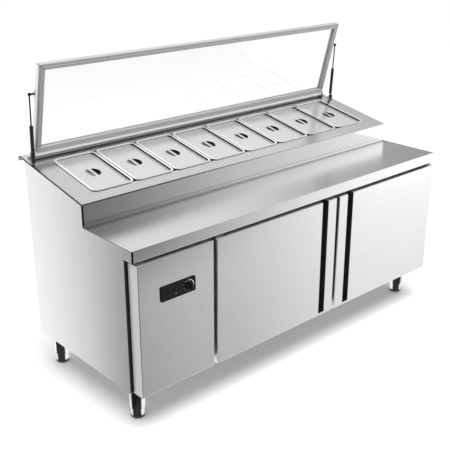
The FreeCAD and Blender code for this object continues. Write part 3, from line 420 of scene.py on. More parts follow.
def painted_riser_shade(tree):
    """Painted shade: a dark band on the worktop along the riser's foot, weaker to the right."""
    near = remap(tree, place_along(tree, BACK), WHOLE, RISER_FOOT_SHADE)
    level = remap(tree, facing(tree, UP), WHOLE, RISER_FOOT_FACING)
    fade = remap(tree, place_along(tree, ALONG), RISER_FOOT_LEVELS, RISER_FOOT_FADE)
    return times(tree, times(tree, near, level), fade)


def flat_top(tree):
    """The level face of the worktop, which is duller than its upright ones."""
    return remap(tree, facing(tree, UP), WHOLE, LEVEL_SPAN)


def painted_slot_shade(tree):
    """The end posts of the front frame, painted near black as shade in the slots beside the side panels."""
    return is_above(tree, end_distance(tree), OUTER_END)


def deck_painted_shade(tree):
    """Painted shade: a dark line at the deck's left end and along its front, fading to the right, and the
    rail's shade.
    """
    end = is_below(tree, place_along(tree, ALONG), SHADE_LINE_START)
    front = is_below(tree, place_along(tree, BACK), DECK_FRONT_Y + SHADE_LINE_WIDTH)
    fading = remap(tree, place_along(tree, ALONG), (1.0, 0.0), SHADE_LINE_FADE)
    edges = larger(tree, end, times(tree, front, fading))
    flat = is_above(tree, facing(tree, DECK_UP), HALF_TURNED)
    return times(tree, larger(tree, edges, painted_rail_shade(tree)), flat)


def painted_rail_shade(tree):
    """Painted shade: the strip of the deck that the round hinge rail shades."""
    run = above_hinge(tree, DECK_RUN)
    shade = remap(tree, run, (0.0, RAIL_SHADE_LEVEL), RAIL_SHADE)
    before = is_below(tree, run, RAIL_SHADE_END)
    beside = is_below(tree, end_distance(tree), LID_HALF)
    return times(tree, times(tree, shade, before), beside)


def rail_top(tree):
    """The upper front of the round hinge rail."""
    return remap(tree, above_hinge(tree, RAIL_LIGHT), WHOLE, RAIL_TOP)


def lid_seams(tree):
    """Black stud pins past the ends of the lid frame, and the dark lines of its upper mitres."""
    pins = is_above(tree, end_distance(tree), STUD_PIN_START)
    inward = minus(tree, LID_HALF, end_distance(tree))
    down = minus(tree, LID_TOP, above_hinge(tree, LID_UP))
    mitred = times(tree, down, LID_STILE / LID_TOP_RAIL)
    off_line = unsigned(tree, minus(tree, inward, mitred))
    mitre = is_below(tree, off_line, MITRE_WIDTH)
    in_stile = is_below(tree, inward, LID_STILE)
    return larger(tree, pins, times(tree, mitre, in_stile))


def lid_ends(tree):
    """The narrow outer faces at the two ends of the lid frame."""
    return is_above(tree, end_distance(tree), LID_HALF - LID_EDGE)


def lid_low_rail(tree):
    """The rail along the bottom of the lid frame."""
    return is_below(tree, above_hinge(tree, LID_UP), LID_LOW_RAIL)


def lid_top_edge(tree):
    """The narrow face along the top of the lid frame."""
    return is_above(tree, above_hinge(tree, LID_UP), LID_TOP - LID_EDGE)


# Materials
def grain_scale(axis, along, across):
    return tuple(along if index == axis else across for index in range(3))


def brushed_steel(name, tone, axis, rough, painted_shade=None, satin=None, satin_level=0.35,
                  metallic=1.0, matt=None):
    """Sheet steel ground along one axis, with fine lines, soft streaks and smudges.

    The three masks say where shade is painted dark, where it is less metallic and where it is rougher.
    """
    material, tree, shader = new_material(name)
    lines = noise(tree, grain_scale(axis, along=6.0, across=1400.0), detail=4.0)
    streaks = noise(tree, grain_scale(axis, along=1.2, across=160.0), detail=2.0)
    smudges = noise(tree, even(3.5), detail=5.0)
    body = ramp(tree, streaks, [(0.25, grey(tone * 0.985)), (0.75, grey(tone * 1.015))])
    body = mix_colour(tree, remap(tree, lines, (0.0, 0.10)), body, grey(tone * 0.80))
    body = mix_colour(tree, remap(tree, smudges, (0.0, 0.06), (0.5, 0.75)), body, grey(tone * 0.90))
    # Painted shade: dark lines and strips mixed in where the steel would lie in shade
    if painted_shade:
        body = mix_colour(tree, painted_shade(tree), body, grey(SEAM_AND_SHADE_TONE))
    plug(tree, body, shader.inputs["Base Color"])
    wear = remap(tree, smudges, (rough - 0.02, rough + 0.02))
    if matt:
        wear = plus(tree, wear, remap(tree, matt(tree), (0.0, MATT_ROUGH), WHOLE))
    plug(tree, plus(tree, remap(tree, lines, (-0.03, 0.03)), wear), shader.inputs["Roughness"])
    shader.inputs["Metallic"].default_value = metallic
    if satin:
        plug(tree, remap(tree, satin(tree), (1.0, satin_level), WHOLE), shader.inputs["Metallic"])
    bump(tree, shader, lines, strength=0.02, distance=0.0001)
    return material


def anodised(name, tone, painted_low_rail_tone, painted_end_tone, painted_top_edge_tone, rough):
    """Matt drawn aluminium of the lid frame, with painted light on the low rail, painted highlights on the
    end and top edges, dark mitres and pins.
    """
    material, tree, shader = new_material(name)
    lines = noise(tree, grain_scale(X_AXIS, along=8.0, across=900.0), detail=4.0)
    clouds = noise(tree, even(6.0), detail=5.0)
    body = ramp(tree, lines, [(0.25, grey(tone * 0.95)), (0.75, grey(tone * 1.05))])
    # Painted light: the low rail, which faces down, and the end and top edges are painted paler
    body = mix_colour(tree, lid_low_rail(tree), body, grey(painted_low_rail_tone))
    body = mix_colour(tree, lid_ends(tree), body, grey(painted_end_tone))
    body = mix_colour(tree, lid_top_edge(tree), body, grey(painted_top_edge_tone))
    body = mix_colour(tree, lid_seams(tree), body, grey(SEAM_AND_SHADE_TONE))
    plug(tree, body, shader.inputs["Base Color"])
    plug(tree, remap(tree, clouds, (rough - 0.04, rough + 0.05)), shader.inputs["Roughness"])
    shader.inputs["Metallic"].default_value = 0.45
    bump(tree, shader, lines, strength=0.03, distance=0.0001)
    return material


def cloudy_grey(tree, tone, spread):
    """Soft clouds, and a grey that follows them by a share of its tone."""
    clouds = noise(tree, even(9.0), detail=6.0)
    low, high = tone * (1.0 - spread), tone * (1.0 + spread)
    return clouds, ramp(tree, clouds, [(0.3, grey(low)), (0.7, grey(high))])


def drawn_surface(tree, shader, clouds, rough):
    """Cloudy sheen and tiny pits of drawn steel."""
    pits = noise(tree, even(900.0), detail=2.0)
    plug(tree, remap(tree, clouds, (rough - 0.03, rough + 0.04)), shader.inputs["Roughness"])
    bump(tree, shader, pits, strength=0.03, distance=0.0001)


def pressed_steel(name, tone, rough):
    """Plain drawn steel."""
    material, tree, shader = new_material(name)
    clouds, body = cloudy_grey(tree, tone, spread=0.03)
    plug(tree, body, shader.inputs["Base Color"])
    shader.inputs["Metallic"].default_value = 1.0
    drawn_surface(tree, shader, clouds, rough)
    return material


def painted_wall_shade(tree, body, side_wall_shade_tone, painted_end_tone):
    """Painted shade: steep walls of a pan or its lid are painted darker than the flats, most of all the long
    side walls.
    """
    flat = remap(tree, facing(tree, DECK_UP), WHOLE, WALL_SPAN)
    sideways = unsigned(tree, facing(tree, ALONG))
    wall_shade = ramp(tree, sideways, [(0.30, grey(painted_end_tone)), (0.65, grey(side_wall_shade_tone))])
    return mix_colour(tree, flat, wall_shade, body)


def pan_steel(name, tone, rough, side_wall_shade_tone, painted_end_tone):
    """Drawn steel of the food pans, with painted shade on the walls."""
    material, tree, shader = new_material(name)
    clouds, body = cloudy_grey(tree, tone, spread=0.02)
    plug(tree, painted_wall_shade(tree, body, side_wall_shade_tone, painted_end_tone), shader.inputs["Base Color"])
    shader.inputs["Metallic"].default_value = 1.0
    drawn_surface(tree, shader, clouds, rough)
    return material


def pan_lid_steel(name, panel_tone, rim_highlight_tone, front_tone, rough, side_wall_shade_tone, painted_end_tone):
    """Drawn steel of the pan lids: a painted highlight on the rim but its front, a duller panel, painted
    shade on the walls, and a grip dish painted dark to one side.
    """
    material, tree, shader = new_material(name)
    clouds, panel = cloudy_grey(tree, panel_tone, spread=0.02)
    height = place_along(tree, DECK_UP)
    front = is_below(tree, place_along(tree, DECK_RUN), FRONT_RIM_END)
    # Painted highlight on the rim, left off the front of the rim
    rim = mix_colour(tree, front, grey(rim_highlight_tone), grey(front_tone))
    body = mix_colour(tree, is_above(tree, height, RIM_LEVEL), panel, rim)
    body = painted_wall_shade(tree, body, side_wall_shade_tone, painted_end_tone)
    from_start = minus(tree, place_along(tree, ALONG), PAN_ROW_START)
    across = math_node(tree, "FRACT", math_node(tree, "DIVIDE", from_start, PAN_PITCH))
    # Painted shade across the grip dish: lighter on one half, dark on the other
    dish = ramp(tree, across, [(place, grey(tone)) for place, tone in PAINTED_DISH_SHADES])
    inside = remap(tree, height, (1.0, 0.0), (DISH_LEVEL - DISH_EDGE, DISH_LEVEL))
    plug(tree, mix_colour(tree, inside, body, dish), shader.inputs["Base Color"])
    lit_half = times(tree, inside, is_below(tree, across, DISH_MIDDLE))
    plug(tree, remap(tree, lit_half, (PAN_LID_METAL, DISH_METAL), WHOLE), shader.inputs["Metallic"])
    drawn_surface(tree, shader, clouds, rough)
    return material


def painted_dark_reflection(tree, body):
    """Painted dark reflection: the side of a leg or foot towards the front left corner is painted dark."""
    shade = remap(tree, facing(tree, LEG_SHADE), WHOLE, BAND_SPAN)
    return mix_colour(tree, shade, body, grey(PAINTED_REFLECTION_TONE))


def chrome(name, tone, rough, band=False):
    """Polished plating with a faint haze, and the painted dark reflection on the legs."""
    material, tree, shader = new_material(name)
    haze = noise(tree, (40.0, 40.0, 14.0), detail=5.0)
    specks = noise(tree, even(600.0), detail=2.0)
    body = ramp(tree, haze, [(0.3, grey(tone * 0.94)), (0.7, grey(tone))])
    if band:
        body = painted_dark_reflection(tree, body)
    plug(tree, body, shader.inputs["Base Color"])
    plug(tree, remap(tree, haze, (rough, rough + 0.08)), shader.inputs["Roughness"])
    shader.inputs["Metallic"].default_value = 1.0
    bump(tree, shader, specks, strength=0.03, distance=0.0001)
    return material


def levelling_foot(name):
    """Chromed sleeve with a painted dark reflection, over a black moulded pad, split by height above the
    floor.
    """
    material, tree, shader = new_material(name)
    metal = is_above(tree, place_along(tree, UP), FOOT_PAD_TOP)
    haze = noise(tree, (50.0, 50.0, 20.0), detail=5.0)
    bright = ramp(tree, haze, [(0.3, grey(0.84)), (0.7, grey(0.90))])
    dark = ramp(tree, haze, [(0.35, grey(0.012)), (0.75, grey(0.03))])
    plug(tree, mix_colour(tree, metal, dark, painted_dark_reflection(tree, bright)), shader.inputs["Base Color"])
    plug(tree, metal, shader.inputs["Metallic"])
    wear = remap(tree, haze, (0.0, 0.1))
    base = remap(tree, metal, (0.45, 0.10), WHOLE)
    plug(tree, plus(tree, wear, base), shader.inputs["Roughness"])
    bump(tree, shader, haze, strength=0.05, distance=0.0004)
    return material


def black_plastic(name, tone, rough, grain=0.25, shine=0.5):
    """Moulded plastic with a fine leathery grain and slightly greyer worn spots."""
    material, tree, shader = new_material(name)
    cells = noise(tree, even(1100.0), detail=2.0)
    wear = noise(tree, even(22.0), detail=6.0)
    body = ramp(tree, wear, [(0.35, grey(tone)), (0.72, grey(tone * 1.9))])
    plug(tree, body, shader.inputs["Base Color"])
    plug(tree, remap(tree, wear, (rough - 0.06, rough + 0.10)), shader.inputs["Roughness"])
    shader.inputs["Specular IOR Level"].default_value = shine
    bump(tree, shader, cells, strength=grain, distance=0.0002)
    return material


def rubber(name, tone):
    """Dusty gasket rubber with a fine skin."""
    material, tree, shader = new_material(name)
    dust = noise(tree, even(60.0), detail=6.0)
    skin = noise(tree, even(1500.0), detail=2.0)
    body = ramp(tree, dust, [(0.4, grey(tone)), (0.75, grey(tone * 2.2))])
    plug(tree, body, shader.inputs["Base Color"])
    plug(tree, remap(tree, dust, (0.62, 0.82)), shader.inputs["Roughness"])
    bump(tree, shader, skin, strength=0.2, distance=0.0002)
    return material


def painted(name, tone, rough):
    """Sprayed paint with orange peel and dust."""
    material, tree, shader = new_material(name)
    peel = noise(tree, even(350.0), detail=2.0)
    dust = noise(tree, even(25.0), detail=6.0)
    body = ramp(tree, dust, [(0.4, grey(tone)), (0.8, grey(tone * 2.0))])
    plug(tree, body, shader.inputs["Base Color"])
    plug(tree, remap(tree, dust, (rough - 0.05, rough + 0.15)), shader.inputs["Roughness"])
    bump(tree, shader, peel, strength=0.12, distance=0.0003)
    return material


def copper(name):
    """Copper pipe with darker tarnish."""
    material, tree, shader = new_material(name)
    tarnish = noise(tree, even(45.0), detail=6.0)
    body = ramp(tree, tarnish, [(0.35, (0.78, 0.42, 0.27)), (0.7, (0.46, 0.24, 0.16))])
    plug(tree, body, shader.inputs["Base Color"])
    plug(tree, remap(tree, tarnish, (0.22, 0.48)), shader.inputs["Roughness"])
    shader.inputs["Metallic"].default_value = 1.0
    bump(tree, shader, tarnish, strength=0.1, distance=0.0003)
    return material


def foam(name):
    """Yellowish insulating foam with open cells."""
    material, tree, shader = new_material(name)
    cells = noise(tree, even(420.0), detail=3.0)
    blotches = noise(tree, even(12.0), detail=4.0)
    body = ramp(tree, blotches, [(0.3, (0.74, 0.62, 0.38)), (0.7, (0.86, 0.78, 0.56))])
    plug(tree, body, shader.inputs["Base Color"])
    plug(tree, remap(tree, cells, (0.8, 0.95)), shader.inputs["Roughness"])
    bump(tree, shader, cells, strength=0.5, distance=0.0008)
    return material


def clear_glass(name):
    """Clear glass with a faint tint and haze."""
    material, tree, shader = new_material(name)
    haze = noise(tree, even(5.0), detail=6.0)
    tint = ramp(tree, haze, [(0.3, (0.976, 0.984, 0.981)), (0.7, (0.984, 0.990, 0.988))])
    plug(tree, tint, shader.inputs["Base Color"])
    plug(tree, remap(tree, haze, (0.01, 0.05)), shader.inputs["Roughness"])
    shader.inputs["Transmission Weight"].default_value = 1.0
    shader.inputs["IOR"].default_value = 1.46
    return material


def unlit_lens(name, colour):
    """Dark glossy plastic of a lamp that is off."""
    material, tree, shader = new_material(name)
    cells = noise(tree, even(900.0), detail=2.0)
    lens = ramp(tree, cells, [(0.3, tuple(0.8 * channel for channel in colour)), (0.7, colour)])
    plug(tree, lens, shader.inputs["Base Color"])
    plug(tree, remap(tree, cells, (0.15, 0.3)), shader.inputs["Roughness"])
    return material


def printed_mark(name, tone):
    """Slightly faded ink."""
    material, tree, shader = new_material(name)
    fade = noise(tree, even(300.0), detail=4.0)
    ink = ramp(tree, fade, [(0.3, grey(tone * 0.85)), (0.7, grey(tone))])
    plug(tree, ink, shader.inputs["Base Color"])
    plug(tree, remap(tree, fade, (0.4, 0.6)), shader.inputs["Roughness"])
    return material


# Materials of the CAD nodes
def dress(material, *names):
    for name in names:
        for slot in nodes[name].material_slots:
            slot.material = material


def numbered(prefix, count):
    return [prefix + "_%d" % index for index in range(1, count + 1)]


def dress_cabinet():
    top_steel = brushed_steel("top_steel", 0.80, X_AXIS, rough=0.125, painted_shade=worktop_painted_shade, matt=flat_top)
    dress(top_steel, "worktop")
    dress(brushed_steel("deck_steel", 0.655, X_AXIS, rough=0.22, painted_shade=deck_painted_shade), "pan_deck")
    front_steel = brushed_steel("front_steel", 0.84, X_AXIS, rough=0.18, satin=dull_edges)
    dress(front_steel, "machine_cover", "left_door_skin", "right_door_skin")
    side_steel = brushed_steel("side_steel", 0.84, Y_AXIS, rough=0.18)
    dress(side_steel, "left_side_panel", "right_side_panel")
    dress(brushed_steel("rear_steel", 0.72, X_AXIS, rough=0.36), "rear_panel")
    dress(brushed_steel("underside_steel", 0.58, X_AXIS, rough=0.40), "base_panel")
    inner_steel = brushed_steel("inner_steel", 0.76, X_AXIS, rough=0.36, metallic=0.5)
    dress(inner_steel, "pan_well", "cold_room_liner")
    frame_steel = brushed_steel("frame_steel", 0.55, X_AXIS, rough=0.40, painted_shade=painted_slot_shade, metallic=0.3)
    dress(frame_steel, "front_frame")
    door_liner_steel = brushed_steel("door_liner_steel", 0.76, Z_AXIS, rough=0.34)
    dress(door_liner_steel, "left_door_inner_panel", "right_door_inner_panel")
    dress(foam("insulating_foam"), "insulation", "left_door_foam", "right_door_foam")
    dress(chrome("leg_chrome", 0.90, rough=0.06, band=True), "legs")
    dress(levelling_foot("foot_finish"), *numbered("levelling_foot", FOOT_COUNT))
    dress(chrome("shelf_chrome", 0.72, rough=0.14), "wire_shelves")


def dress_lid_and_pans():
    lid_aluminium = anodised("lid_aluminium", 0.42, painted_low_rail_tone=0.57, painted_end_tone=0.92, painted_top_edge_tone=0.52, rough=0.42)
    dress(lid_aluminium, "lid_frame")
    rail_steel = brushed_steel("hinge_rail_steel", 0.94, X_AXIS, rough=0.26, satin=rail_top, satin_level=0.1)
    dress(rail_steel, "lid_hinge_rail")
    dress(pressed_steel("bracket_steel", 0.34, rough=0.30), "hinge_brackets")
    dress(clear_glass("lid_glass"), "lid_glass")
    dress(painted("strut_paint", 0.008, rough=0.32), "left_strut_tube", "right_strut_tube")
    dress(chrome("strut_rod_steel", 0.03, rough=0.18), "left_strut_rod", "right_strut_rod")
    food_pan_steel = pan_steel("pan_steel", 0.78, rough=0.22, side_wall_shade_tone=0.46, painted_end_tone=0.58)
    dress(food_pan_steel, *numbered("food_pan", PAN_COUNT))
    cover_steel = pan_lid_steel(
        "pan_lid_steel", 0.59, rim_highlight_tone=0.84, front_tone=0.56, rough=0.18, side_wall_shade_tone=0.01, painted_end_tone=0.50)
    dress(cover_steel, *numbered("pan_lid", PAN_COUNT))


def dress_trim():
    gasket_rubber = rubber("gasket_rubber", 0.012)
    dress(gasket_rubber, "left_door_gasket", "right_door_gasket", "machine_cover_gasket")
    dress(black_plastic("grip_plastic", 0.012, rough=0.42), "left_door_grip", "right_door_grip")
    control_plastic = black_plastic("control_plastic", 0.005, rough=0.30, grain=0.12, shine=0.2)
    dress(control_plastic, "control_panel", "control_knob")
    dress(black_plastic("gland_plastic", 0.02, rough=0.5), "cable_gland", "condenser_fan")


def dress_machine():
    dress(pressed_steel("coil_aluminium", 0.70, rough=0.38), "evaporator", "condenser")
    dress(painted("compressor_paint", 0.030, rough=0.35), "compressor")
    dress(copper("copper_pipe"), "refrigerant_pipes")


# Small fittings
def deck_place(x, run, rise):
    """A point on the deck, from its front edge up along the slope and square to it."""
    y = DECK_FRONT_Y + run * DECK_COSINE - rise * DECK_SINE
    z = DECK_FRONT_Z + run * DECK_SINE + rise * DECK_COSINE
    return Vector((x, y, z))


def lid_place(x, depth, height):
    """A point on the open lid, from its hinge line."""
    y = LID_HINGE.y + depth * math.cos(LID_LEAN) - height * math.sin(LID_LEAN)
    z = LID_HINGE.z + depth * math.sin(LID_LEAN) + height * math.cos(LID_LEAN)
    return Vector((x, y, z))


def lathe(mesh, profile, place, normal):
    """Spins a profile of radius and height round a normal, from the rim to the axis."""
    turn = normal.to_track_quat("Z", "Y").to_matrix()
    rings = []
    for radius, height in profile[:-1]:
        ring = []
        for index in range(TURNED_SEGMENTS):
            angle = 2.0 * math.pi * index / TURNED_SEGMENTS
            point = Vector((radius * math.cos(angle), radius * math.sin(angle), height))
            ring.append(mesh.verts.new(place + turn @ point))
        rings.append(ring)
    for low, high in zip(rings, rings[1:]):
        for index in range(TURNED_SEGMENTS):
            after = (index + 1) % TURNED_SEGMENTS
            mesh.faces.new((low[index], low[after], high[after], high[index]))
    tip = mesh.verts.new(place + turn @ Vector((0.0, 0.0, profile[-1][1])))
    last = rings[-1]
    for index in range(TURNED_SEGMENTS):
        mesh.faces.new((last[index], last[(index + 1) % TURNED_SEGMENTS], tip))
    mesh.faces.new(list(reversed(rings[0])))


def screw(mesh, place, normal, radius):
    """A domed screw head with a round driver socket."""
    tall = 0.55 * radius
    profile = [
        (radius, 0.0),
        (radius, 0.35 * tall),
        (0.90 * radius, 0.72 * tall),
        (0.66 * radius, 0.95 * tall),
        (0.42 * radius, tall),
        (0.36 * radius, 0.94 * tall),
        (0.34 * radius, 0.45 * tall),
        (0.0, 0.38 * tall),
    ]
    lathe(mesh, profile, place, normal)


def finish_piece(name, mesh, material, body):
    data = bpy.data.meshes.new(name)
    bmesh.ops.recalc_face_normals(mesh, faces=mesh.faces)
    mesh.to_mesh(data)
    mesh.free()
    data.materials.append(material)
    data.shade_smooth()
    data.set_sharp_from_angle(angle=SHARP_ANGLE)
    piece = bpy.data.objects.new(name, data)
    bpy.context.scene.collection.objects.link(piece)
    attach(piece, body)


def screw_set(name, places_and_normals, radius, material, body):
    mesh = bmesh.new()
    for place, normal in places_and_normals:
        screw(mesh, place, normal, radius)
    finish_piece(name, mesh, material, body)


def deck_screws():
    normal = Vector(DECK_UP)
    screws = []
    for side in (-1, 1):
        for run in HINGE_SCREW_RUNS:
            screws.append((deck_place(side * HINGE_SCREW_X, run, HINGE_PLATE_TOP), normal))
        for run in STRUT_SCREW_RUNS:
            screws.append((deck_place(side * STRUT_SCREW_X, run, STRUT_PLATE_TOP), normal))
    return screws


def lid_stud_screws():
    screws = []
    for side in (-1, 1):
        for step in (-STUD_SCREW_STEP, STUD_SCREW_STEP):
            place = lid_place(side * STUD_PLATE_FACE, STUD_DEPTH, STUD_HEIGHT + step)
            screws.append((place, Vector((side, 0.0, 0.0))))
    return screws


def rear_panel_screws():
    spots = [(x, z) for x in REAR_COLUMNS for z in REAR_ROWS]
    spots += [(x, z) for z in REAR_END_ROWS for x in (REAR_COLUMNS[0], REAR_COLUMNS[-1])]
    return [(Vector((x, REAR_FACE, z)), Vector(BACK)) for x, z in spots]


def build_screws():
    steel = chrome("screw_steel", 0.40, rough=0.25)
    screw_set("deck_screws", deck_screws(), DECK_SCREW, steel, "cabinet")
    screw_set("lid_stud_screws", lid_stud_screws(), STUD_SCREW, steel, "lid")
    screw_set("rear_panel_screws", rear_panel_screws(), REAR_SCREW, steel, "cabinet")


def flat_mark(mesh, outline, y):
    """A thin raised print on an upright face at a depth y."""
    front = [mesh.verts.new((x, y - PRINT_THICKNESS, z)) for x, z in outline]
    back = [mesh.verts.new((x, y, z)) for x, z in outline]
    mesh.faces.new(front)
    mesh.faces.new(list(reversed(back)))
    for index in range(len(outline)):
        after = (index + 1) % len(outline)
        mesh.faces.new((front[index], back[index], back[after], front[after]))


def round_knob(radius, degrees):
    """A point of the dial, clockwise from the top."""
    angle = math.radians(degrees)
    return (KNOB_CENTRE.x + radius * math.sin(angle), KNOB_CENTRE.z + radius * math.cos(angle))


def wedge_outline():
    """A curved wedge that thickens clockwise."""
    edge = []
    rim = []
    for step in range(WEDGE_STEPS + 1):
        degrees = WEDGE_FIRST + (WEDGE_LAST - WEDGE_FIRST) * step / WEDGE_STEPS
        thickness = WEDGE_THIN + WEDGE_GROWTH * step / WEDGE_STEPS
        edge.append(round_knob(DIAL_RADIUS, degrees))
        rim.append(round_knob(DIAL_RADIUS + thickness, degrees))
    return edge + rim[::-1]


def tick_outline(degrees):
    outer = DIAL_RADIUS + TICK_LENGTH
    return [
        round_knob(DIAL_RADIUS, degrees - TICK_HALF),
        round_knob(DIAL_RADIUS, degrees + TICK_HALF),
        round_knob(outer, degrees + TICK_HALF),
        round_knob(outer, degrees - TICK_HALF),
    ]


def pointer_outline():
    low = KNOB_CENTRE.z + POINTER_START
    high = KNOB_CENTRE.z + POINTER_END
    wide, narrow = POINTER_HALVES
    x = KNOB_CENTRE.x
    return [(x - wide, low), (x + wide, low), (x + narrow, high), (x - narrow, high)]


def build_dial():
    ink = printed_mark("dial_print", 0.72)
    mesh = bmesh.new()
    flat_mark(mesh, wedge_outline(), PLATE_FACE)
    for degrees in TICK_DEGREES:
        flat_mark(mesh, tick_outline(degrees), PLATE_FACE)
    finish_piece("dial_print", mesh, ink, "machine_cover")
    pointer = bmesh.new()
    flat_mark(pointer, pointer_outline(), SKIRT_FACE)
    finish_piece("knob_pointer", pointer, ink, "knob")


def build_lamp():
    lens = unlit_lens("lamp_lens", (0.06, 0.06, 0.055))
    ring = chrome("lamp_ring", 0.12, rough=0.3)
    place = Vector((LAMP_X, PLATE_FACE, LAMP_Z))
    collar = bmesh.new()
    lathe(collar, RING_PROFILE, place, Vector(FORWARD))
    finish_piece("lamp_ring", collar, ring, "machine_cover")
    dome = bmesh.new()
    lathe(dome, LENS_PROFILE, place, Vector(FORWARD))
    finish_piece("lamp_lens", dome, lens, "machine_cover")


# Studio floor, light and camera
def steel_ray(tree):
    """One for a ray from a mirror-like surface, nothing for one that only passed through glass."""
    path = add(tree, "ShaderNodeLightPath")
    mirrored = is_above(tree, path.outputs["Glossy Depth"], 0.5)
    return times(tree, path.outputs["Is Glossy Ray"], mirrored)


def azimuth_of(tree, vector):
    """The direction round the upright axis as a number from 0 to 1, with 0.5 towards +X."""
    parts = split_vector(tree, vector)
    angle = math_node(tree, "ARCTAN2", parts["Y"], parts["X"])
    return remap(tree, angle, WHOLE, (-math.pi, math.pi))


def by_degrees(pairs):
    return [((degrees + 180.0) / 360.0, even(level)) for degrees, level in pairs]


def around_pivot(tree, point, pivot, levels):
    """A level that changes with the direction of a floor point from an upright axis."""
    offset = add(tree, "ShaderNodeVectorMath", operation="SUBTRACT")
    offset.inputs[1].default_value = pivot
    plug(tree, point, offset.inputs[0])
    return ramp(tree, azimuth_of(tree, offset.outputs["Vector"]), by_degrees(levels))


def past_footprint(tree, point):
    """How far a floor point lies outside the counter's footprint, and less than nothing inside it."""
    parts = split_vector(tree, point)
    beside = minus(tree, unsigned(tree, parts["X"]), FOOTPRINT_HALF[0])
    before = minus(tree, unsigned(tree, parts["Y"]), FOOTPRINT_HALF[1])
    return larger(tree, beside, before)


def floor_reflection(tree, point):
    """What steel sees in the floor: bright and dark sides, and a bright patch under the counter."""
    depth = split_vector(tree, point)["Y"]
    near = around_pivot(tree, point, FRONT_PIVOT, FLOOR_NEAR_FRONT)
    far = around_pivot(tree, point, FRONT_PIVOT, FLOOR_FAR_FRONT)
    side = around_pivot(tree, point, SIDE_PIVOT, FLOOR_SIDE)
    dimmed = mix_colour(tree, remap(tree, depth, (0.0, FLOOR_DIM_LEVEL), FLOOR_DIM_SPAN), near, grey(0.0))
    front = mix_colour(tree, remap(tree, depth, (1.0, 0.0), FLOOR_FAR_SPAN), dimmed, far)
    studio = mix_colour(tree, remap(tree, depth, WHOLE, FLOOR_SIDE_SPAN), front, side)
    outside = remap(tree, past_footprint(tree, point), WHOLE, FOOTPRINT_EDGE)
    return mix_colour(tree, outside, grey(1.0), studio)


def floor_paper(tree, point):
    """Pale paper that is lifted to white away from the counter and keeps its shadow."""
    paper = add(tree, "ShaderNodeBsdfDiffuse")
    paper.inputs["Color"].default_value = (*even(PAPER_TONE), 1.0)
    past = past_footprint(tree, point)
    near_lift = remap(tree, past, (0.0, NEAR_LIFT), NEAR_LIFT_SPAN)
    far_lift = remap(tree, past, (0.0, FAR_LIFT), FAR_LIFT_SPAN)
    lift = add(tree, "ShaderNodeEmission")
    plug(tree, plus(tree, near_lift, far_lift), lift.inputs["Strength"])
    both = add(tree, "ShaderNodeAddShader")
    plug(tree, paper.outputs["BSDF"], both.inputs[0])
    plug(tree, lift.outputs["Emission"], both.inputs[1])
    return both.outputs["Shader"]


def floor_material():
    """Paper to the camera, and the studio's bright and dark sides to rays from steel."""
    material = bpy.data.materials.new("studio_floor")
    material.use_nodes = True
    tree = material.node_tree
    tree.nodes.clear()
    point = add(tree, "ShaderNodeTexCoord").outputs["Object"]
    mirror = add(tree, "ShaderNodeEmission")
    plug(tree, floor_reflection(tree, point), mirror.inputs["Color"])
    choose = add(tree, "ShaderNodeMixShader")
    plug(tree, steel_ray(tree), choose.inputs["Fac"])
    plug(tree, floor_paper(tree, point), choose.inputs[1])
    plug(tree, mirror.outputs["Emission"], choose.inputs[2])
    output = add(tree, "ShaderNodeOutputMaterial")
    plug(tree, choose.outputs["Shader"], output.inputs["Surface"])
    return material


def build_floor():
    mesh = bpy.data.meshes.new("studio_floor")
    h = FLOOR_HALF
    mesh.from_pydata([(-h, -h, 0), (h, -h, 0), (h, h, 0), (-h, h, 0)], [], [(0, 1, 2, 3)])
    mesh.materials.append(floor_material())
    floor = bpy.data.objects.new("studio_floor", mesh)
    bpy.context.scene.collection.objects.link(floor)
    floor.location.z = -FLOOR_DROP


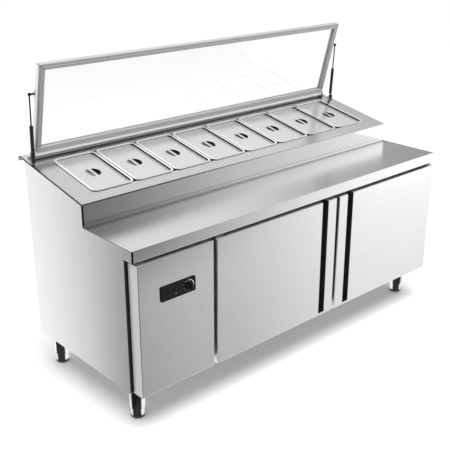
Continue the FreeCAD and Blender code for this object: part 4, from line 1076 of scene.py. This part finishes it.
def build_world():
    """White to the camera and through glass, a plain fill on the object, soft sides in the steel."""
    world = bpy.data.worlds.new("studio_world")
    bpy.context.scene.world = world
    world.use_nodes = True
    tree = world.node_tree
    tree.nodes.clear()
    direction = add(tree, "ShaderNodeTexCoord").outputs["Generated"]
    azimuth = azimuth_of(tree, direction)
    height = split_vector(tree, direction)["Z"]
    low = ramp(tree, azimuth, by_degrees(SKY_LOW))
    high = ramp(tree, azimuth, by_degrees(SKY_HIGH))
    sides = mix_colour(tree, remap(tree, height, WHOLE, SKY_HIGH_SPAN), low, high)
    sides = mix_colour(tree, remap(tree, height, WHOLE, SKY_TOP_SPAN), sides, grey(SKY_TOP))
    path = add(tree, "ShaderNodeLightPath")
    seen = larger(tree, path.outputs["Is Camera Ray"], path.outputs["Is Transmission Ray"])
    level = mix_colour(tree, seen, grey(SKY_FILL), grey(1.0))
    level = mix_colour(tree, steel_ray(tree), level, sides)
    background = add(tree, "ShaderNodeBackground")
    plug(tree, level, background.inputs["Color"])
    output = add(tree, "ShaderNodeOutputWorld")
    plug(tree, background.outputs["Background"], output.inputs["Surface"])


def build_light():
    light = bpy.data.lights.new("ceiling_softbox", "AREA")
    light.shape = "RECTANGLE"
    light.size, light.size_y = CEILING_SIZE
    light.energy = CEILING_POWER
    lamp = bpy.data.objects.new("ceiling_softbox", light)
    lamp.location = CEILING_PLACE
    bpy.context.scene.collection.objects.link(lamp)
    lamp.visible_camera = False
    lamp.visible_glossy = False


def build_camera():
    data = bpy.data.cameras.new("camera")
    data.sensor_width = CAMERA_SENSOR
    data.lens = CAMERA_LENS
    data.shift_x, data.shift_y = CAMERA_SHIFT
    data.clip_end = CAMERA_REACH
    camera = bpy.data.objects.new("camera", data)
    camera.location = CAMERA_PLACE
    camera.rotation_euler = (math.radians(90.0 - CAMERA_ELEVATION), 0.0, math.radians(CAMERA_AZIMUTH))
    bpy.context.scene.collection.objects.link(camera)
    bpy.context.scene.camera = camera


dress_cabinet()
dress_lid_and_pans()
dress_trim()
dress_machine()
build_screws()
build_dial()
build_lamp()
build_floor()
build_world()
build_light()
build_camera()
bpy.context.scene.view_settings.view_transform = "Standard"
